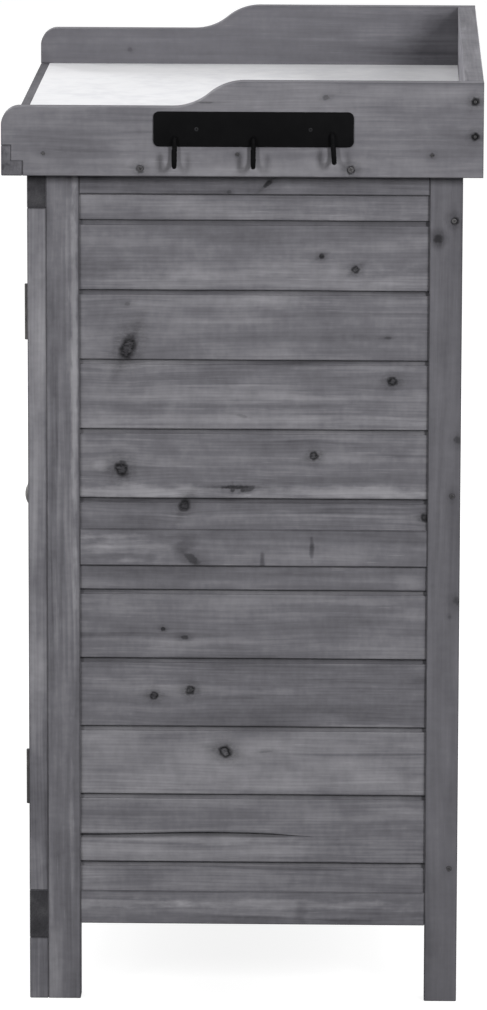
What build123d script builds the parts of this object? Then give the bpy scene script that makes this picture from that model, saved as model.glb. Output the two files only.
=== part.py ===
from build123d import *
import os
from math import atan, ceil, cos, pi, sin

# Potting bench: a two-door cupboard of framed shiplap panels under a tray with a metal sheet.
# Millimetres. +Z is up, the doors face -Y and the length runs along X. "Right" is +X.
# The pieces are modelled about the bench's middle, then moved so that the origin is on the floor
# at the middle of the box round the bench and its hooks.

# Overall sizes
tray_length = 780.0
tray_depth = 508.0
cabinet_height = 915.0

# Planed softwood
arris = 0.8
frame_thickness = 20.0
post_thickness = 24.0
post_width = 35.0
back_frame_thickness = 18.0
back_stile_width = 35.0

# Rails of the ends and the back
bottom_rail_top = 120.0
bottom_rail_height = 36.0
mid_rail_top = 517.5
mid_rail_height = 39.5
top_rail_height = 37.0

# Face frame round the doors
front_rail_height = 52.5
front_stile_width = 40.0

# Shiplap boards, let into grooves in their frames
slat_cover = 74.8
slat_thickness = 10.0
slat_recess = 4.0
slat_gap = 5.5
slat_lap = 5.0
lap_play = 0.4
least_slat = 0.3
groove_depth = 8.0
groove_play = 0.5

# Tray
tray_board = 20.0
end_board_height = 100.5
end_board_front_height = 73.0
end_corner_radius = 19.0
step_from_front = 180.5
step_run = 76.0
tray_skirt = 15.5
front_rail_depth = 22.5
front_lip = 10.0
front_clearance = 3.5
back_clearance = 1.0
deck_thickness = 16.0
deck_board_count = 7
deck_gap = 1.0
deck_play = 0.2
sheet_thickness = 0.8

# Doors
door_thickness = 20.0
door_stile_width = 40.0
door_rail_height = 60.0
door_mid_rail_height = 40.0
door_gap = 3.0
meeting_gap = 3.0

# Butt hinges, with knuckles proud of the face frame
hinge_height = 60.0
hinge_leaf = 1.1
hinge_leaf_depth = 16.0
hinge_leaf_play = 0.2
hinge_knuckle = 5.0
hinge_pin = 3.0
pin_play = 0.05
knuckle_play = 0.4
knuckle_standoff = 0.3
hinge_inset = 117.0
hinge_screw_spacing = 36.0

# Door knobs
knob_diameter = 30.0
knob_projection = 23.5
knob_dome = 10.5
knob_collar = 16.0
knob_collar_height = 2.5
knob_neck = 12.0

# Magnetic catch and its strike plates
catch_width = 46.0
catch_depth = 20.0
catch_height = 12.0
catch_play = 0.3
strike_width = 16.0
strike_thickness = 1.0

# Floor and shelf inside the cupboard
shelf_thickness = 12.0
shelf_board_count = 5
shelf_gap = 4.0
shelf_play = 1.0
shelf_setback = 6.0
cleat_size = 20.0

# Hook strip on the right end board
plate_length = 211.0
plate_height = 37.0
plate_thickness = 2.0
plate_corner = 6.0
plate_middle_y = 12.0
plate_rise = 32.0
plate_screw_spacing = 120.0
hook_spacing = 83.0
hook_wire = 5.0
hook_radius = 9.0
hook_standoff = 6.0
hook_bend = 3.5
hook_stem = 19.0
hook_tip = 9.0
hook_inset = 8.5
crooked_hook_lift = 5.0
crooked_hook_tilt = 4.5

# Countersunk screws: head diameter, shank diameter, length
deck_screw = (5.0, 3.0, 40.0)
rail_screw = (8.0, 4.0, 38.0)
post_screw = (7.0, 4.0, 50.0)
leaf_screw = (5.2, 3.0, 14.0)
plate_screw = (6.0, 3.0, 16.0)
knob_screw = (7.0, 4.0, 30.0)
rail_screw_rise = 8.0
rail_screw_middle_y = 3.5
rail_screw_spacing = 222.0
back_screw_inset = 9.0
back_screw_rises = (43.5, 80.5)
post_screw_rise = 27.0
post_screw_mid_rise = 37.5
post_screw_drop = 64.0

# Places worked out from the sizes above
cabinet_width = tray_length - 2 * tray_board
end_x = cabinet_width / 2
front_y = -tray_depth / 2 + front_rail_depth + front_clearance
rear_y = tray_depth / 2 - tray_board - back_clearance
frame_back_y = front_y + frame_thickness
panel_front_y = frame_back_y + post_width
panel_rear_y = rear_y - post_width
back_inner_y = rear_y - back_frame_thickness
post_inner_x = end_x - post_thickness
rail_inner_x = end_x - frame_thickness

bottom_rail = (bottom_rail_top - bottom_rail_height, bottom_rail_top)
mid_rail = (mid_rail_top - mid_rail_height, mid_rail_top)
top_rail = (cabinet_height - top_rail_height, cabinet_height)
front_bottom_rail = (bottom_rail_top - front_rail_height, bottom_rail_top)
front_top_rail = (cabinet_height - front_rail_height, cabinet_height)
lower_panel = (bottom_rail[1], mid_rail[0])
upper_panel = (mid_rail[1], top_rail[0])

hinge_gap = 2 * hinge_leaf + hinge_leaf_play
opening_x = end_x - front_stile_width
hinge_x = opening_x - hinge_gap / 2
hinge_y = front_y - hinge_knuckle / 2 - knuckle_standoff
hinge_heights = (bottom_rail_top + hinge_inset, front_top_rail[0] - hinge_inset)
door_x = (meeting_gap / 2, opening_x - hinge_gap)
door_y = (front_y, front_y + door_thickness)
door_z = (bottom_rail_top + door_gap, front_top_rail[0] - door_gap)
door_middle_z = sum(door_z) / 2
lock_stile_x = door_x[0] + door_stile_width / 2

tray_bottom = cabinet_height - tray_skirt
deck_top = cabinet_height + deck_thickness
lip_top = deck_top + sheet_thickness
deck_front_y = -tray_depth / 2 + front_lip
deck_back_y = tray_depth / 2 - tray_board
deck_pitch = (deck_back_y - deck_front_y) / deck_board_count
tray_end_x = tray_length / 2
plate_bottom = tray_bottom + plate_rise
hook_reach = hook_standoff + 2 * hook_radius + hook_wire / 2


def block(x, y, z):
    """A plain block between two limits on each axis."""
    return Pos(sum(x) / 2, sum(y) / 2, sum(z) / 2) * Box(x[1] - x[0], y[1] - y[0], z[1] - z[0])


def board(x, y, z):
    """A planed board between two limits on each axis, with its arrises taken off."""
    plain = block(x, y, z)
    return chamfer(plain.edges(), arris)


def mirrored(shape):
    """The same piece on the other side of the bench's middle."""
    return mirror(shape, about=Plane.YZ)


def group(pieces):
    """Separate solids that share a node."""
    return Compound([solid for piece in pieces for solid in piece.solids()])


def screw(size):
    """A countersunk screw along -X, with the flat of its head at x = 0."""
    head, shank, length = size
    outline = Polyline(
        (0, 0),
        (0, head / 2),
        ((shank - head) / 2, shank / 2),
        (shank - length, shank / 2),
        (-length, 0),
        close=True,
    )
    return revolve(make_face(outline), Axis.X)


def slat(length, low, high, laps_below, laps_above):
    """A shiplap board between two joint lines.

    Its outer half stops short of a joint, which leaves a shadow gap, and its inner half runs up
    behind the board above.
    """
    outer = slat_recess
    middle = outer + slat_thickness / 2
    inner = outer + slat_thickness
    foot = low + slat_gap / 2 if laps_below else low
    head = high - slat_gap / 2 if laps_above else high
    reach = slat_gap / 2 + slat_lap
    inner_foot = low + reach + lap_play / 2 if laps_below else low
    inner_head = high + reach - lap_play / 2 if laps_above else high
    corners = [(outer, foot + arris), (outer + arris, foot)]
    corners += [(middle, foot), (middle, inner_foot)] if laps_below else []
    corners += [(inner, inner_foot), (inner, inner_head)]
    corners += [(middle, inner_head), (middle, head)] if laps_above else []
    corners += [(outer + arris, head), (outer, head - arris)]
    outline = Polyline([(-length / 2, depth, height) for depth, height in corners], close=True)
    return extrude(make_face(outline), amount=length, dir=(1, 0, 0))


def slats(width, panel):
    """Shiplap boards for an opening in a frame whose outer face lies at y = 0, facing -Y."""
    low, high = panel
    length = width + 2 * (groove_depth - groove_play)
    bottom = low - groove_depth + groove_play
    top = high + groove_depth - groove_play
    middle = (low + high) / 2
    rows = ceil((high - low) / 2 / slat_cover - least_slat)
    joints = [bottom, *(middle + row * slat_cover for row in range(1 - rows, rows)), top]
    last = len(joints) - 2
    return [
        slat(length, joints[row], joints[row + 1], row > 0, row < last)
        for row in range(last + 1)
    ]


def groove(width, panel):
    """The space that the boards and their grooves take up in a frame, placed as slats() does."""
    reach = width / 2 + groove_depth
    depth = (slat_recess, slat_recess + slat_thickness)
    return block((-reach, reach), depth, (panel[0] - groove_depth, panel[1] + groove_depth))


def framed(members, place, width, panels):
    """Grooves a frame's members for its panels, and fills the panels with boards.

    Returns the grooved members and the boards.
    """
    cuts = [place * groove(width, panel) for panel in panels]
    grooved = {name: member - cuts for name, member in members.items()}
    boards = [place * piece for panel in panels for piece in slats(width, panel)]
    return grooved, group(boards)


def end_frame():
    """The right-hand end: two posts, three rails and the boards between them."""
    post_x = (post_inner_x, end_x)
    rail_x = (rail_inner_x, end_x)
    rail_y = (panel_front_y, panel_rear_y)
    members = {
        "front_post": board(post_x, (frame_back_y, panel_front_y), (0, cabinet_height)),
        "rear_post": board(post_x, (panel_rear_y, rear_y), (0, cabinet_height)),
        "top_rail": board(rail_x, rail_y, top_rail),
        "mid_rail": board(rail_x, rail_y, mid_rail),
        "bottom_rail": board(rail_x, rail_y, bottom_rail),
    }
    place = Pos(end_x, (panel_front_y + panel_rear_y) / 2, 0) * Rot(0, 0, 90)
    width = panel_rear_y - panel_front_y
    members, boards = framed(members, place, width, (lower_panel, upper_panel))
    return {**members, "end_slats": boards}


def back_panel():
    """The back: two stiles against the rear posts, three rails and the boards between them."""
    stile_x = (post_inner_x - back_stile_width, post_inner_x)
    depth = (back_inner_y, rear_y)
    rail_x = (-stile_x[0], stile_x[0])
    stile = board(stile_x, depth, (bottom_rail[0], cabinet_height))
    members = {
        "right_stile": stile,
        "left_stile": mirrored(stile),
        "top_rail": board(rail_x, depth, top_rail),
        "mid_rail": board(rail_x, depth, mid_rail),
        "bottom_rail": board(rail_x, depth, bottom_rail),
    }
    place = Pos(0, rear_y, 0) * Rot(0, 0, 180)
    members, boards = framed(members, place, 2 * stile_x[0], (lower_panel, upper_panel))
    return {**members, "slats": boards}


def face_frame():
    """The front: full-width rails, with a stile between them and a foot below at each end."""
    depth = (front_y, frame_back_y)
    rail_x = (-end_x, end_x)
    stile_x = (opening_x, end_x)
    stile = board(stile_x, depth, (front_bottom_rail[1], front_top_rail[0]))
    foot = board(stile_x, depth, (0, front_bottom_rail[0]))
    return {
        "top_rail": board(rail_x, depth, front_top_rail),
        "bottom_rail": board(rail_x, depth, front_bottom_rail),
        "right_stile": stile,
        "left_stile": mirrored(stile),
        "right_foot": foot,
        "left_foot": mirrored(foot),
    }


def door():
    """The right-hand door, flush with the face frame: two stiles, three rails and boards."""
    low, high = door_z
    rail_x = (door_x[0] + door_stile_width, door_x[1] - door_stile_width)
    mid = (door_middle_z - door_mid_rail_height / 2, door_middle_z + door_mid_rail_height / 2)
    members = {
        "lock_stile": board((door_x[0], rail_x[0]), door_y, door_z),
        "hinge_stile": board((rail_x[1], door_x[1]), door_y, door_z),
        "top_rail": board(rail_x, door_y, (high - door_rail_height, high)),
        "mid_rail": board(rail_x, door_y, mid),
        "bottom_rail": board(rail_x, door_y, (low, low + door_rail_height)),
    }
    panels = ((low + door_rail_height, mid[0]), (mid[1], high - door_rail_height))
    place = Pos(sum(rail_x) / 2, front_y, 0)
    members, boards = framed(members, place, rail_x[1] - rail_x[0], panels)
    return {**members, "slats": boards}


def knob():
    """A turned knob on the right door's lock stile, with a concave neck and a domed face."""
    rim = knob_diameter / 2
    rim_y = knob_dome - knob_projection
    collar = knob_collar / 2
    half_turn = atan(knob_dome / rim)
    dome_radius = rim / sin(2 * half_turn)
    dome_middle = (dome_radius * sin(half_turn), dome_radius * (1 - cos(half_turn)) - knob_projection)
    neck_y = (rim_y - knob_collar_height) / 2
    outline = [
        Polyline((0, -knob_projection), (0, 0), (collar, 0), (collar, -knob_collar_height)),
        ThreePointArc((collar, -knob_collar_height), (knob_neck / 2, neck_y), (rim, rim_y)),
        ThreePointArc((rim, rim_y), dome_middle, (0, -knob_projection)),
    ]
    turned = revolve(make_face(outline), Axis.Y)
    return Pos(lock_stile_x, front_y, door_middle_z) * turned


def knuckle_spans(middle):
    """Heights of a hinge's three knuckles: bottom, middle and top."""
    pitch = (hinge_height + knuckle_play) / 3
    bottom = middle - hinge_height / 2
    return [(bottom + i * pitch, bottom + (i + 1) * pitch - knuckle_play) for i in range(3)]


def round_bar(radius, span):
    """A round bar on the right door's hinge axis, between two heights."""
    low, high = span
    return Pos(hinge_x, hinge_y, (low + high) / 2) * Cylinder(radius, high - low)


def hinge_leaf_at(middle, leaf_x, own, bore_play):
    """One leaf of a right-hand hinge: a plate in the door gap, with the knuckles that it owns."""
    spans = knuckle_spans(middle)
    plate_z = (middle - hinge_height / 2, middle + hinge_height / 2)
    leaf = block(leaf_x, (hinge_y, front_y + hinge_leaf_depth), plate_z)
    for index, (low, high) in enumerate(spans):
        if index not in own:
            room = (low - knuckle_play, high + knuckle_play)
            leaf -= round_bar(hinge_knuckle / 2 + knuckle_play, room)
    for index in own:
        leaf += round_bar(hinge_knuckle / 2, spans[index])
    return leaf - round_bar(hinge_pin / 2 + bore_play, plate_z)


def hinges():
    """Frame leaves, door leaves and pins of the right door's two hinges."""
    frame_x = (hinge_x + hinge_leaf_play / 2, opening_x)
    leaf_x = (door_x[1], hinge_x - hinge_leaf_play / 2)
    half = hinge_height / 2
    return {
        "frame": [hinge_leaf_at(z, frame_x, (0, 2), 0) for z in hinge_heights],
        "door": [hinge_leaf_at(z, leaf_x, (1,), pin_play) for z in hinge_heights],
        "pins": [round_bar(hinge_pin / 2, (z - half, z + half)) for z in hinge_heights],
    }


def leaf_screws(x, turn):
    """Screws through the right door's hinge leaves, with their heads at x."""
    y = front_y + hinge_leaf_depth / 2
    steps = (-hinge_screw_spacing / 2, hinge_screw_spacing / 2)
    heights = [z + step for z in hinge_heights for step in steps]
    return [Pos(x, y, z) * Rot(0, 0, turn) * screw(leaf_screw) for z in heights]


def door_fasteners():
    """The right door's own screws: through its hinge leaves, and from behind into its knob."""
    into_knob = Pos(lock_stile_x, door_y[1], door_middle_z) * Rot(0, 0, 90) * screw(knob_screw)
    return leaf_screws(hinge_x - hinge_leaf_play / 2, 0), into_knob


def strike():
    """The plate on the back of the right door's lock stile, level with the catch."""
    x = (lock_stile_x - strike_width / 2, lock_stile_x + strike_width / 2)
    return block(x, (door_y[1], door_y[1] + strike_thickness), (mid_rail_top, mid_rail_top + catch_height))


def catch():
    """The magnetic catch on the shelf's front edge, which holds both doors shut."""
    front = door_y[1] + strike_thickness + catch_play
    x = (-catch_width / 2, catch_width / 2)
    return board(x, (front, front + catch_depth), (mid_rail_top, mid_rail_top + catch_height))


def loose_boards(y, top):
    """A row of boards along X that fills a depth, with gaps between the boards."""
    pitch = (y[1] - y[0] + shelf_gap) / shelf_board_count
    x = (shelf_play - post_inner_x, post_inner_x - shelf_play)
    starts = [y[0] + index * pitch for index in range(shelf_board_count)]
    z = (top - shelf_thickness, top)
    return group([board(x, (start, start + pitch - shelf_gap), z) for start in starts])


def cleats():
    """Battens inside the end rails, which carry the floor and the shelf."""
    x = (rail_inner_x - cleat_size, rail_inner_x)
    y = (panel_front_y, panel_rear_y)
    tops = [bottom_rail_top - shelf_thickness, mid_rail_top - shelf_thickness]
    right = [board(x, y, (top - cleat_size, top)) for top in tops]
    return group(right + [mirrored(cleat) for cleat in right])


def tray_end():
    """The right end board: stepped, round at its front corner and notched for the front rail."""
    front = -tray_depth / 2
    back = tray_depth / 2
    low_top = tray_bottom + end_board_front_height
    high_top = tray_bottom + end_board_height
    step = (front + step_from_front, front + step_from_front + step_run)
    rise = high_top - low_top
    step_radius = (step_run**2 + rise**2) / (4 * rise)
    quarter = atan(rise / step_run)
    step_middle = (sum(step) / 2, (low_top + high_top) / 2)
    sag = step_radius * (1 - cos(quarter))
    lower_bow = (step[0] + step_radius * sin(quarter), low_top + sag)
    upper_bow = (step[1] - step_radius * sin(quarter), high_top - sag)
    corner_sag = end_corner_radius * (1 - cos(pi / 4))
    corner_middle = (front + corner_sag, low_top - corner_sag)
    low_corner = (front + end_corner_radius, low_top)
    high_corner = (front, low_top - end_corner_radius)
    notch = [
        high_corner,
        (front, lip_top),
        (deck_front_y, lip_top),
        (deck_front_y, cabinet_height),
        (front + front_rail_depth, cabinet_height),
        (front + front_rail_depth, tray_bottom),
        (back, tray_bottom),
        (back, high_top),
        (step[1], high_top),
    ]
    outline = [
        Polyline(notch),
        ThreePointArc((step[1], high_top), upper_bow, step_middle),
        ThreePointArc(step_middle, lower_bow, (step[0], low_top)),
        Line((step[0], low_top), low_corner),
        ThreePointArc(low_corner, corner_middle, high_corner),
    ]
    face = Pos(end_x, 0, 0) * (Plane.YZ * make_face(outline))
    raw = extrude(face, amount=tray_board, dir=(1, 0, 0))
    rims = raw.faces().sort_by(Axis.X)
    return chamfer(rims[-1].edges() + rims[0].edges(), arris)


def front_rail():
    """The tray's front rail: an L section whose ledge carries the deck, right through both ends."""
    front = -tray_depth / 2
    x = (-tray_end_x, tray_end_x)
    whole = board(x, (front, front + front_rail_depth), (tray_bottom, lip_top))
    rebate = block(x, (deck_front_y, front + front_rail_depth), (cabinet_height, lip_top))
    return whole - rebate


def back_board():
    """The tray's back board, between the end boards."""
    y = (tray_depth / 2 - tray_board, tray_depth / 2)
    return board((-end_x, end_x), y, (tray_bottom, tray_bottom + end_board_height))


def deck_boards():
    """Boards along X under the metal sheet."""
    x = (deck_play - end_x, end_x - deck_play)
    z = (cabinet_height, deck_top)
    half = (deck_pitch - deck_gap) / 2
    return [board(x, (y - half, y + half), z) for y in deck_lines()]


def deck_lines():
    """Middle of each deck board, from front to back."""
    return [deck_front_y + (index + 0.5) * deck_pitch for index in range(deck_board_count)]


def metal_sheet():
    """The flat metal sheet that lines the tray."""
    x = (deck_play - end_x, end_x - deck_play)
    y = (deck_front_y + deck_play, deck_back_y - deck_play)
    return block(x, y, (deck_top, lip_top))


def hook_plate():
    """The black strip on the right end board."""
    face = Plane.YZ * RectangleRounded(plate_length, plate_height, plate_corner)
    at = Pos(tray_end_x, plate_middle_y, plate_bottom + plate_height / 2)
    return extrude(at * face, amount=plate_thickness, dir=(1, 0, 0))


def hook():
    """One J hook, from its stub in the plate at the origin, out along +X and down."""
    drop = -hook_stem
    far = hook_standoff + 2 * hook_radius
    shank = FilletPolyline((0, 0, 0), (hook_standoff, 0, 0), (hook_standoff, 0, drop), radius=hook_bend)
    bottom = (hook_standoff + hook_radius, 0, drop - hook_radius)
    bend = ThreePointArc((hook_standoff, 0, drop), bottom, (far, 0, drop))
    tip = Line((far, 0, drop), (far, 0, drop + hook_tip))
    wire = sweep(Plane.YZ * Circle(hook_wire / 2), path=Wire([*shank.edges(), bend, tip]))
    return wire + Pos(far, 0, drop + hook_tip) * Sphere(hook_wire / 2)


def hooks():
    """Three hooks in the plate. The one nearest the back sits crooked, a little higher."""
    z = plate_bottom + hook_inset
    places = [
        Pos(tray_end_x, plate_middle_y - hook_spacing, z),
        Pos(tray_end_x, plate_middle_y, z),
        Pos(tray_end_x, plate_middle_y + hook_spacing, z + crooked_hook_lift) * Rot(crooked_hook_tilt, 0, 0),
    ]
    return [place * hook() for place in places]


def plate_screws():
    """The two screws of the hook strip."""
    z = plate_bottom + plate_height / 2
    half = plate_screw_spacing / 2
    return [
        Pos(tray_end_x + plate_thickness, plate_middle_y + step, z) * screw(plate_screw)
        for step in (-half, half)
    ]


def tray_screws():
    """Screws through the right end board: into deck boards, into the top rail, into the back board."""
    lines = deck_lines()
    deck_y = (lines[0], lines[len(lines) // 2], lines[-1])
    rail_y = (rail_screw_middle_y - rail_screw_spacing / 2, rail_screw_middle_y + rail_screw_spacing / 2)
    back_y = tray_depth / 2 - back_screw_inset
    into_deck = [Pos(tray_end_x, y, cabinet_height + deck_thickness / 2) * screw(deck_screw) for y in deck_y]
    into_rail = [Pos(tray_end_x, y, tray_bottom + rail_screw_rise) * screw(rail_screw) for y in rail_y]
    into_back = [Pos(tray_end_x, back_y, tray_bottom + rise) * screw(deck_screw) for rise in back_screw_rises]
    return into_deck + into_rail + into_back


def post_screws():
    """Screws through the right rear post into the back panel's stile."""
    y = rear_y - back_frame_thickness / 2
    heights = (
        bottom_rail_top + post_screw_rise,
        mid_rail_top + post_screw_mid_rise,
        cabinet_height - post_screw_drop,
    )
    return [Pos(end_x, y, z) * screw(post_screw) for z in heights]


def drilled(shape, tools):
    """A piece with its screws' or hooks' holes."""
    return group([solid - tools for solid in shape.solids()])


def bench():
    """Every piece of the bench, by its node's name."""
    nodes = {}
    for name, shape in end_frame().items():
        nodes[f"right_{name}"] = shape
        nodes[f"left_{name}"] = mirrored(shape)
    nodes.update({f"back_{name}": shape for name, shape in back_panel().items()})
    nodes.update({f"front_{name}": shape for name, shape in face_frame().items()})

    leaves = hinges()
    into_leaves, into_knob = door_fasteners()
    door_pieces = {**door(), "knob": knob(), "strike": strike(), "hinge_leaves": group(leaves["door"])}
    for name in ("hinge_stile", "hinge_leaves"):
        door_pieces[name] = drilled(door_pieces[name], into_leaves)
    for name in ("lock_stile", "knob"):
        door_pieces[name] = drilled(door_pieces[name], into_knob)
    door_pieces["screws"] = group([*into_leaves, into_knob])
    for name, shape in door_pieces.items():
        nodes[f"right_door_{name}"] = shape
        nodes[f"left_door_{name}"] = mirrored(shape)

    frame_leaves = group(leaves["frame"])
    into_frame = leaf_screws(hinge_x + hinge_leaf_play / 2, 180)
    right_leaves = drilled(frame_leaves, into_frame)
    pins = leaves["pins"]
    nodes["hinge_frame_leaves"] = group([right_leaves, mirrored(right_leaves)])
    nodes["hinge_pins"] = group(pins + [mirrored(pin) for pin in pins])
    nodes["front_right_stile"] = drilled(nodes["front_right_stile"], into_frame)
    nodes["front_left_stile"] = mirrored(nodes["front_right_stile"])

    nodes["door_catch"] = catch()
    inside_back_y = back_inner_y - shelf_play
    nodes["floor_boards"] = loose_boards((frame_back_y + shelf_play, inside_back_y), bottom_rail_top)
    nodes["shelf_boards"] = loose_boards((frame_back_y + shelf_setback, inside_back_y), mid_rail_top)
    nodes["board_cleats"] = cleats()

    nodes["tray_right_end"] = tray_end()
    nodes["tray_left_end"] = mirrored(nodes["tray_right_end"])
    nodes["tray_front_rail"] = front_rail()
    nodes["tray_back_board"] = back_board()
    nodes["deck_boards"] = group(deck_boards())
    nodes["metal_top"] = metal_sheet()

    for side, turned in (("right", lambda shape: shape), ("left", mirrored)):
        tray = [turned(piece) for piece in tray_screws()]
        post = [turned(piece) for piece in post_screws()]
        for name in (f"tray_{side}_end", f"{side}_top_rail", "deck_boards", "tray_back_board"):
            nodes[name] = drilled(nodes[name], tray)
        for name in (f"{side}_rear_post", f"back_{side}_stile"):
            nodes[name] = drilled(nodes[name], post)
    right_screws = group([*tray_screws(), *post_screws(), *into_frame])
    nodes["cabinet_screws"] = group([right_screws, mirrored(right_screws)])

    nodes["hooks"] = group(hooks())
    nodes["hook_screws"] = group(plate_screws())
    nodes["hook_plate"] = drilled(hook_plate(), [*hooks(), *plate_screws()])
    nodes["tray_right_end"] = drilled(nodes["tray_right_end"], plate_screws())
    return nodes


def main():
    """Writes one file for each node, about the bench's origin."""
    os.makedirs("parts", exist_ok=True)
    to_origin = Pos(-hook_reach / 2, 0, 0)
    for name, shape in bench().items():
        export_step(to_origin * shape, f"parts/{name}.step")


main()
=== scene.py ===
"""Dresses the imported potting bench: stained boards, metal sheet, hardware, studio and camera."""
import logging
import math
import random
from dataclasses import dataclass, field, replace
from enum import Enum
from typing import Dict, List, Optional, Sequence, Tuple, Union

import bmesh
import bpy
from mathutils import Matrix, Vector


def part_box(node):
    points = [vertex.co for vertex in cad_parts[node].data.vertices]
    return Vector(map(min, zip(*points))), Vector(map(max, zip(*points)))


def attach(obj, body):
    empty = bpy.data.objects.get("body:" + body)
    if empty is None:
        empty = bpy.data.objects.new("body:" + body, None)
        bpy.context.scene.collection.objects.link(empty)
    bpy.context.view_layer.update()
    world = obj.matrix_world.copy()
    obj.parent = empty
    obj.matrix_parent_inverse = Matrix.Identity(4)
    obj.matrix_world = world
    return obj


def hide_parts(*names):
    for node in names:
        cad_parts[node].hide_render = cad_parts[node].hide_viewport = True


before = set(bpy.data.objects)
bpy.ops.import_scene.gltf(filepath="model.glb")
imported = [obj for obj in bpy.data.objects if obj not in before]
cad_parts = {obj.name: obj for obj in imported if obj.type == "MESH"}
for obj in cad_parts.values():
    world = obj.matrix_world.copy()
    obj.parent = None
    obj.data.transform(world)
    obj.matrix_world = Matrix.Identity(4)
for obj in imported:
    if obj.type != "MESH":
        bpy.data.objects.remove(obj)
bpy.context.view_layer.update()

Colour = Tuple[float, float, float, float]
Triple = Tuple[float, float, float]
Pair = Tuple[float, float]
Socket = bpy.types.NodeSocket
Feed = Union[float, int, Sequence[float], Socket]
Node = bpy.types.Node
NodeTree = bpy.types.NodeTree
Material = bpy.types.Material
Mesh = bpy.types.Mesh
Piece = bpy.types.Object
Shape = bmesh.types.BMesh
Corner = bmesh.types.BMVert

LOG = logging.getLogger("potting_bench")
MM = 0.001
TOUCHING = 0.01 * MM
SHARP_ANGLE = math.radians(40)
WHITE: Colour = (1.0, 1.0, 1.0, 1.0)
NOISE_SPAN: Pair = (0.3, 0.7)
BOARD_SEEDS = 30.0
FLOAT, VECTOR, GEOMETRY = "NodeSocketFloat", "NodeSocketVector", "NodeSocketGeometry"
OBJECT, MATERIAL, INTEGER = "NodeSocketObject", "NodeSocketMaterial", "NodeSocketInt"


def srgb(red: int, green: int, blue: int) -> Colour:
    """A colour given as display values from 0 to 255.

    Args:
        red, green, blue: display values.

    Returns:
        The same colour in linear light, with alpha 1.
    """
    def linear(value: float) -> float:
        """One channel in linear light."""
        share = value / 255
        return share / 12.92 if share <= 0.04045 else ((share + 0.055) / 1.055) ** 2.4

    return linear(red), linear(green), linear(blue), 1.0


def add_object(name: str, data: bpy.types.ID) -> Piece:
    """A new object in the scene, at the origin.

    Args:
        name: the object's name.
        data: its mesh, curve, lamp or camera.

    Returns:
        The object.
    """
    made = bpy.data.objects.new(name, data)
    bpy.context.scene.collection.objects.link(made)
    return made


class Body(Enum):
    """Bodies of the bench that pieces ride on."""

    CABINET = "cabinet"
    RIGHT_DOOR = "right_door"
    LEFT_DOOR = "left_door"


class Slot(Enum):
    """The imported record's material slots for pieces that are remade."""

    WOOD = "grey_wood"
    SHEET = "metal_sheet"
    BLACK = "black_metal"
    DARK = "dark_metal"
    SCREW = "screw_metal"


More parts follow.
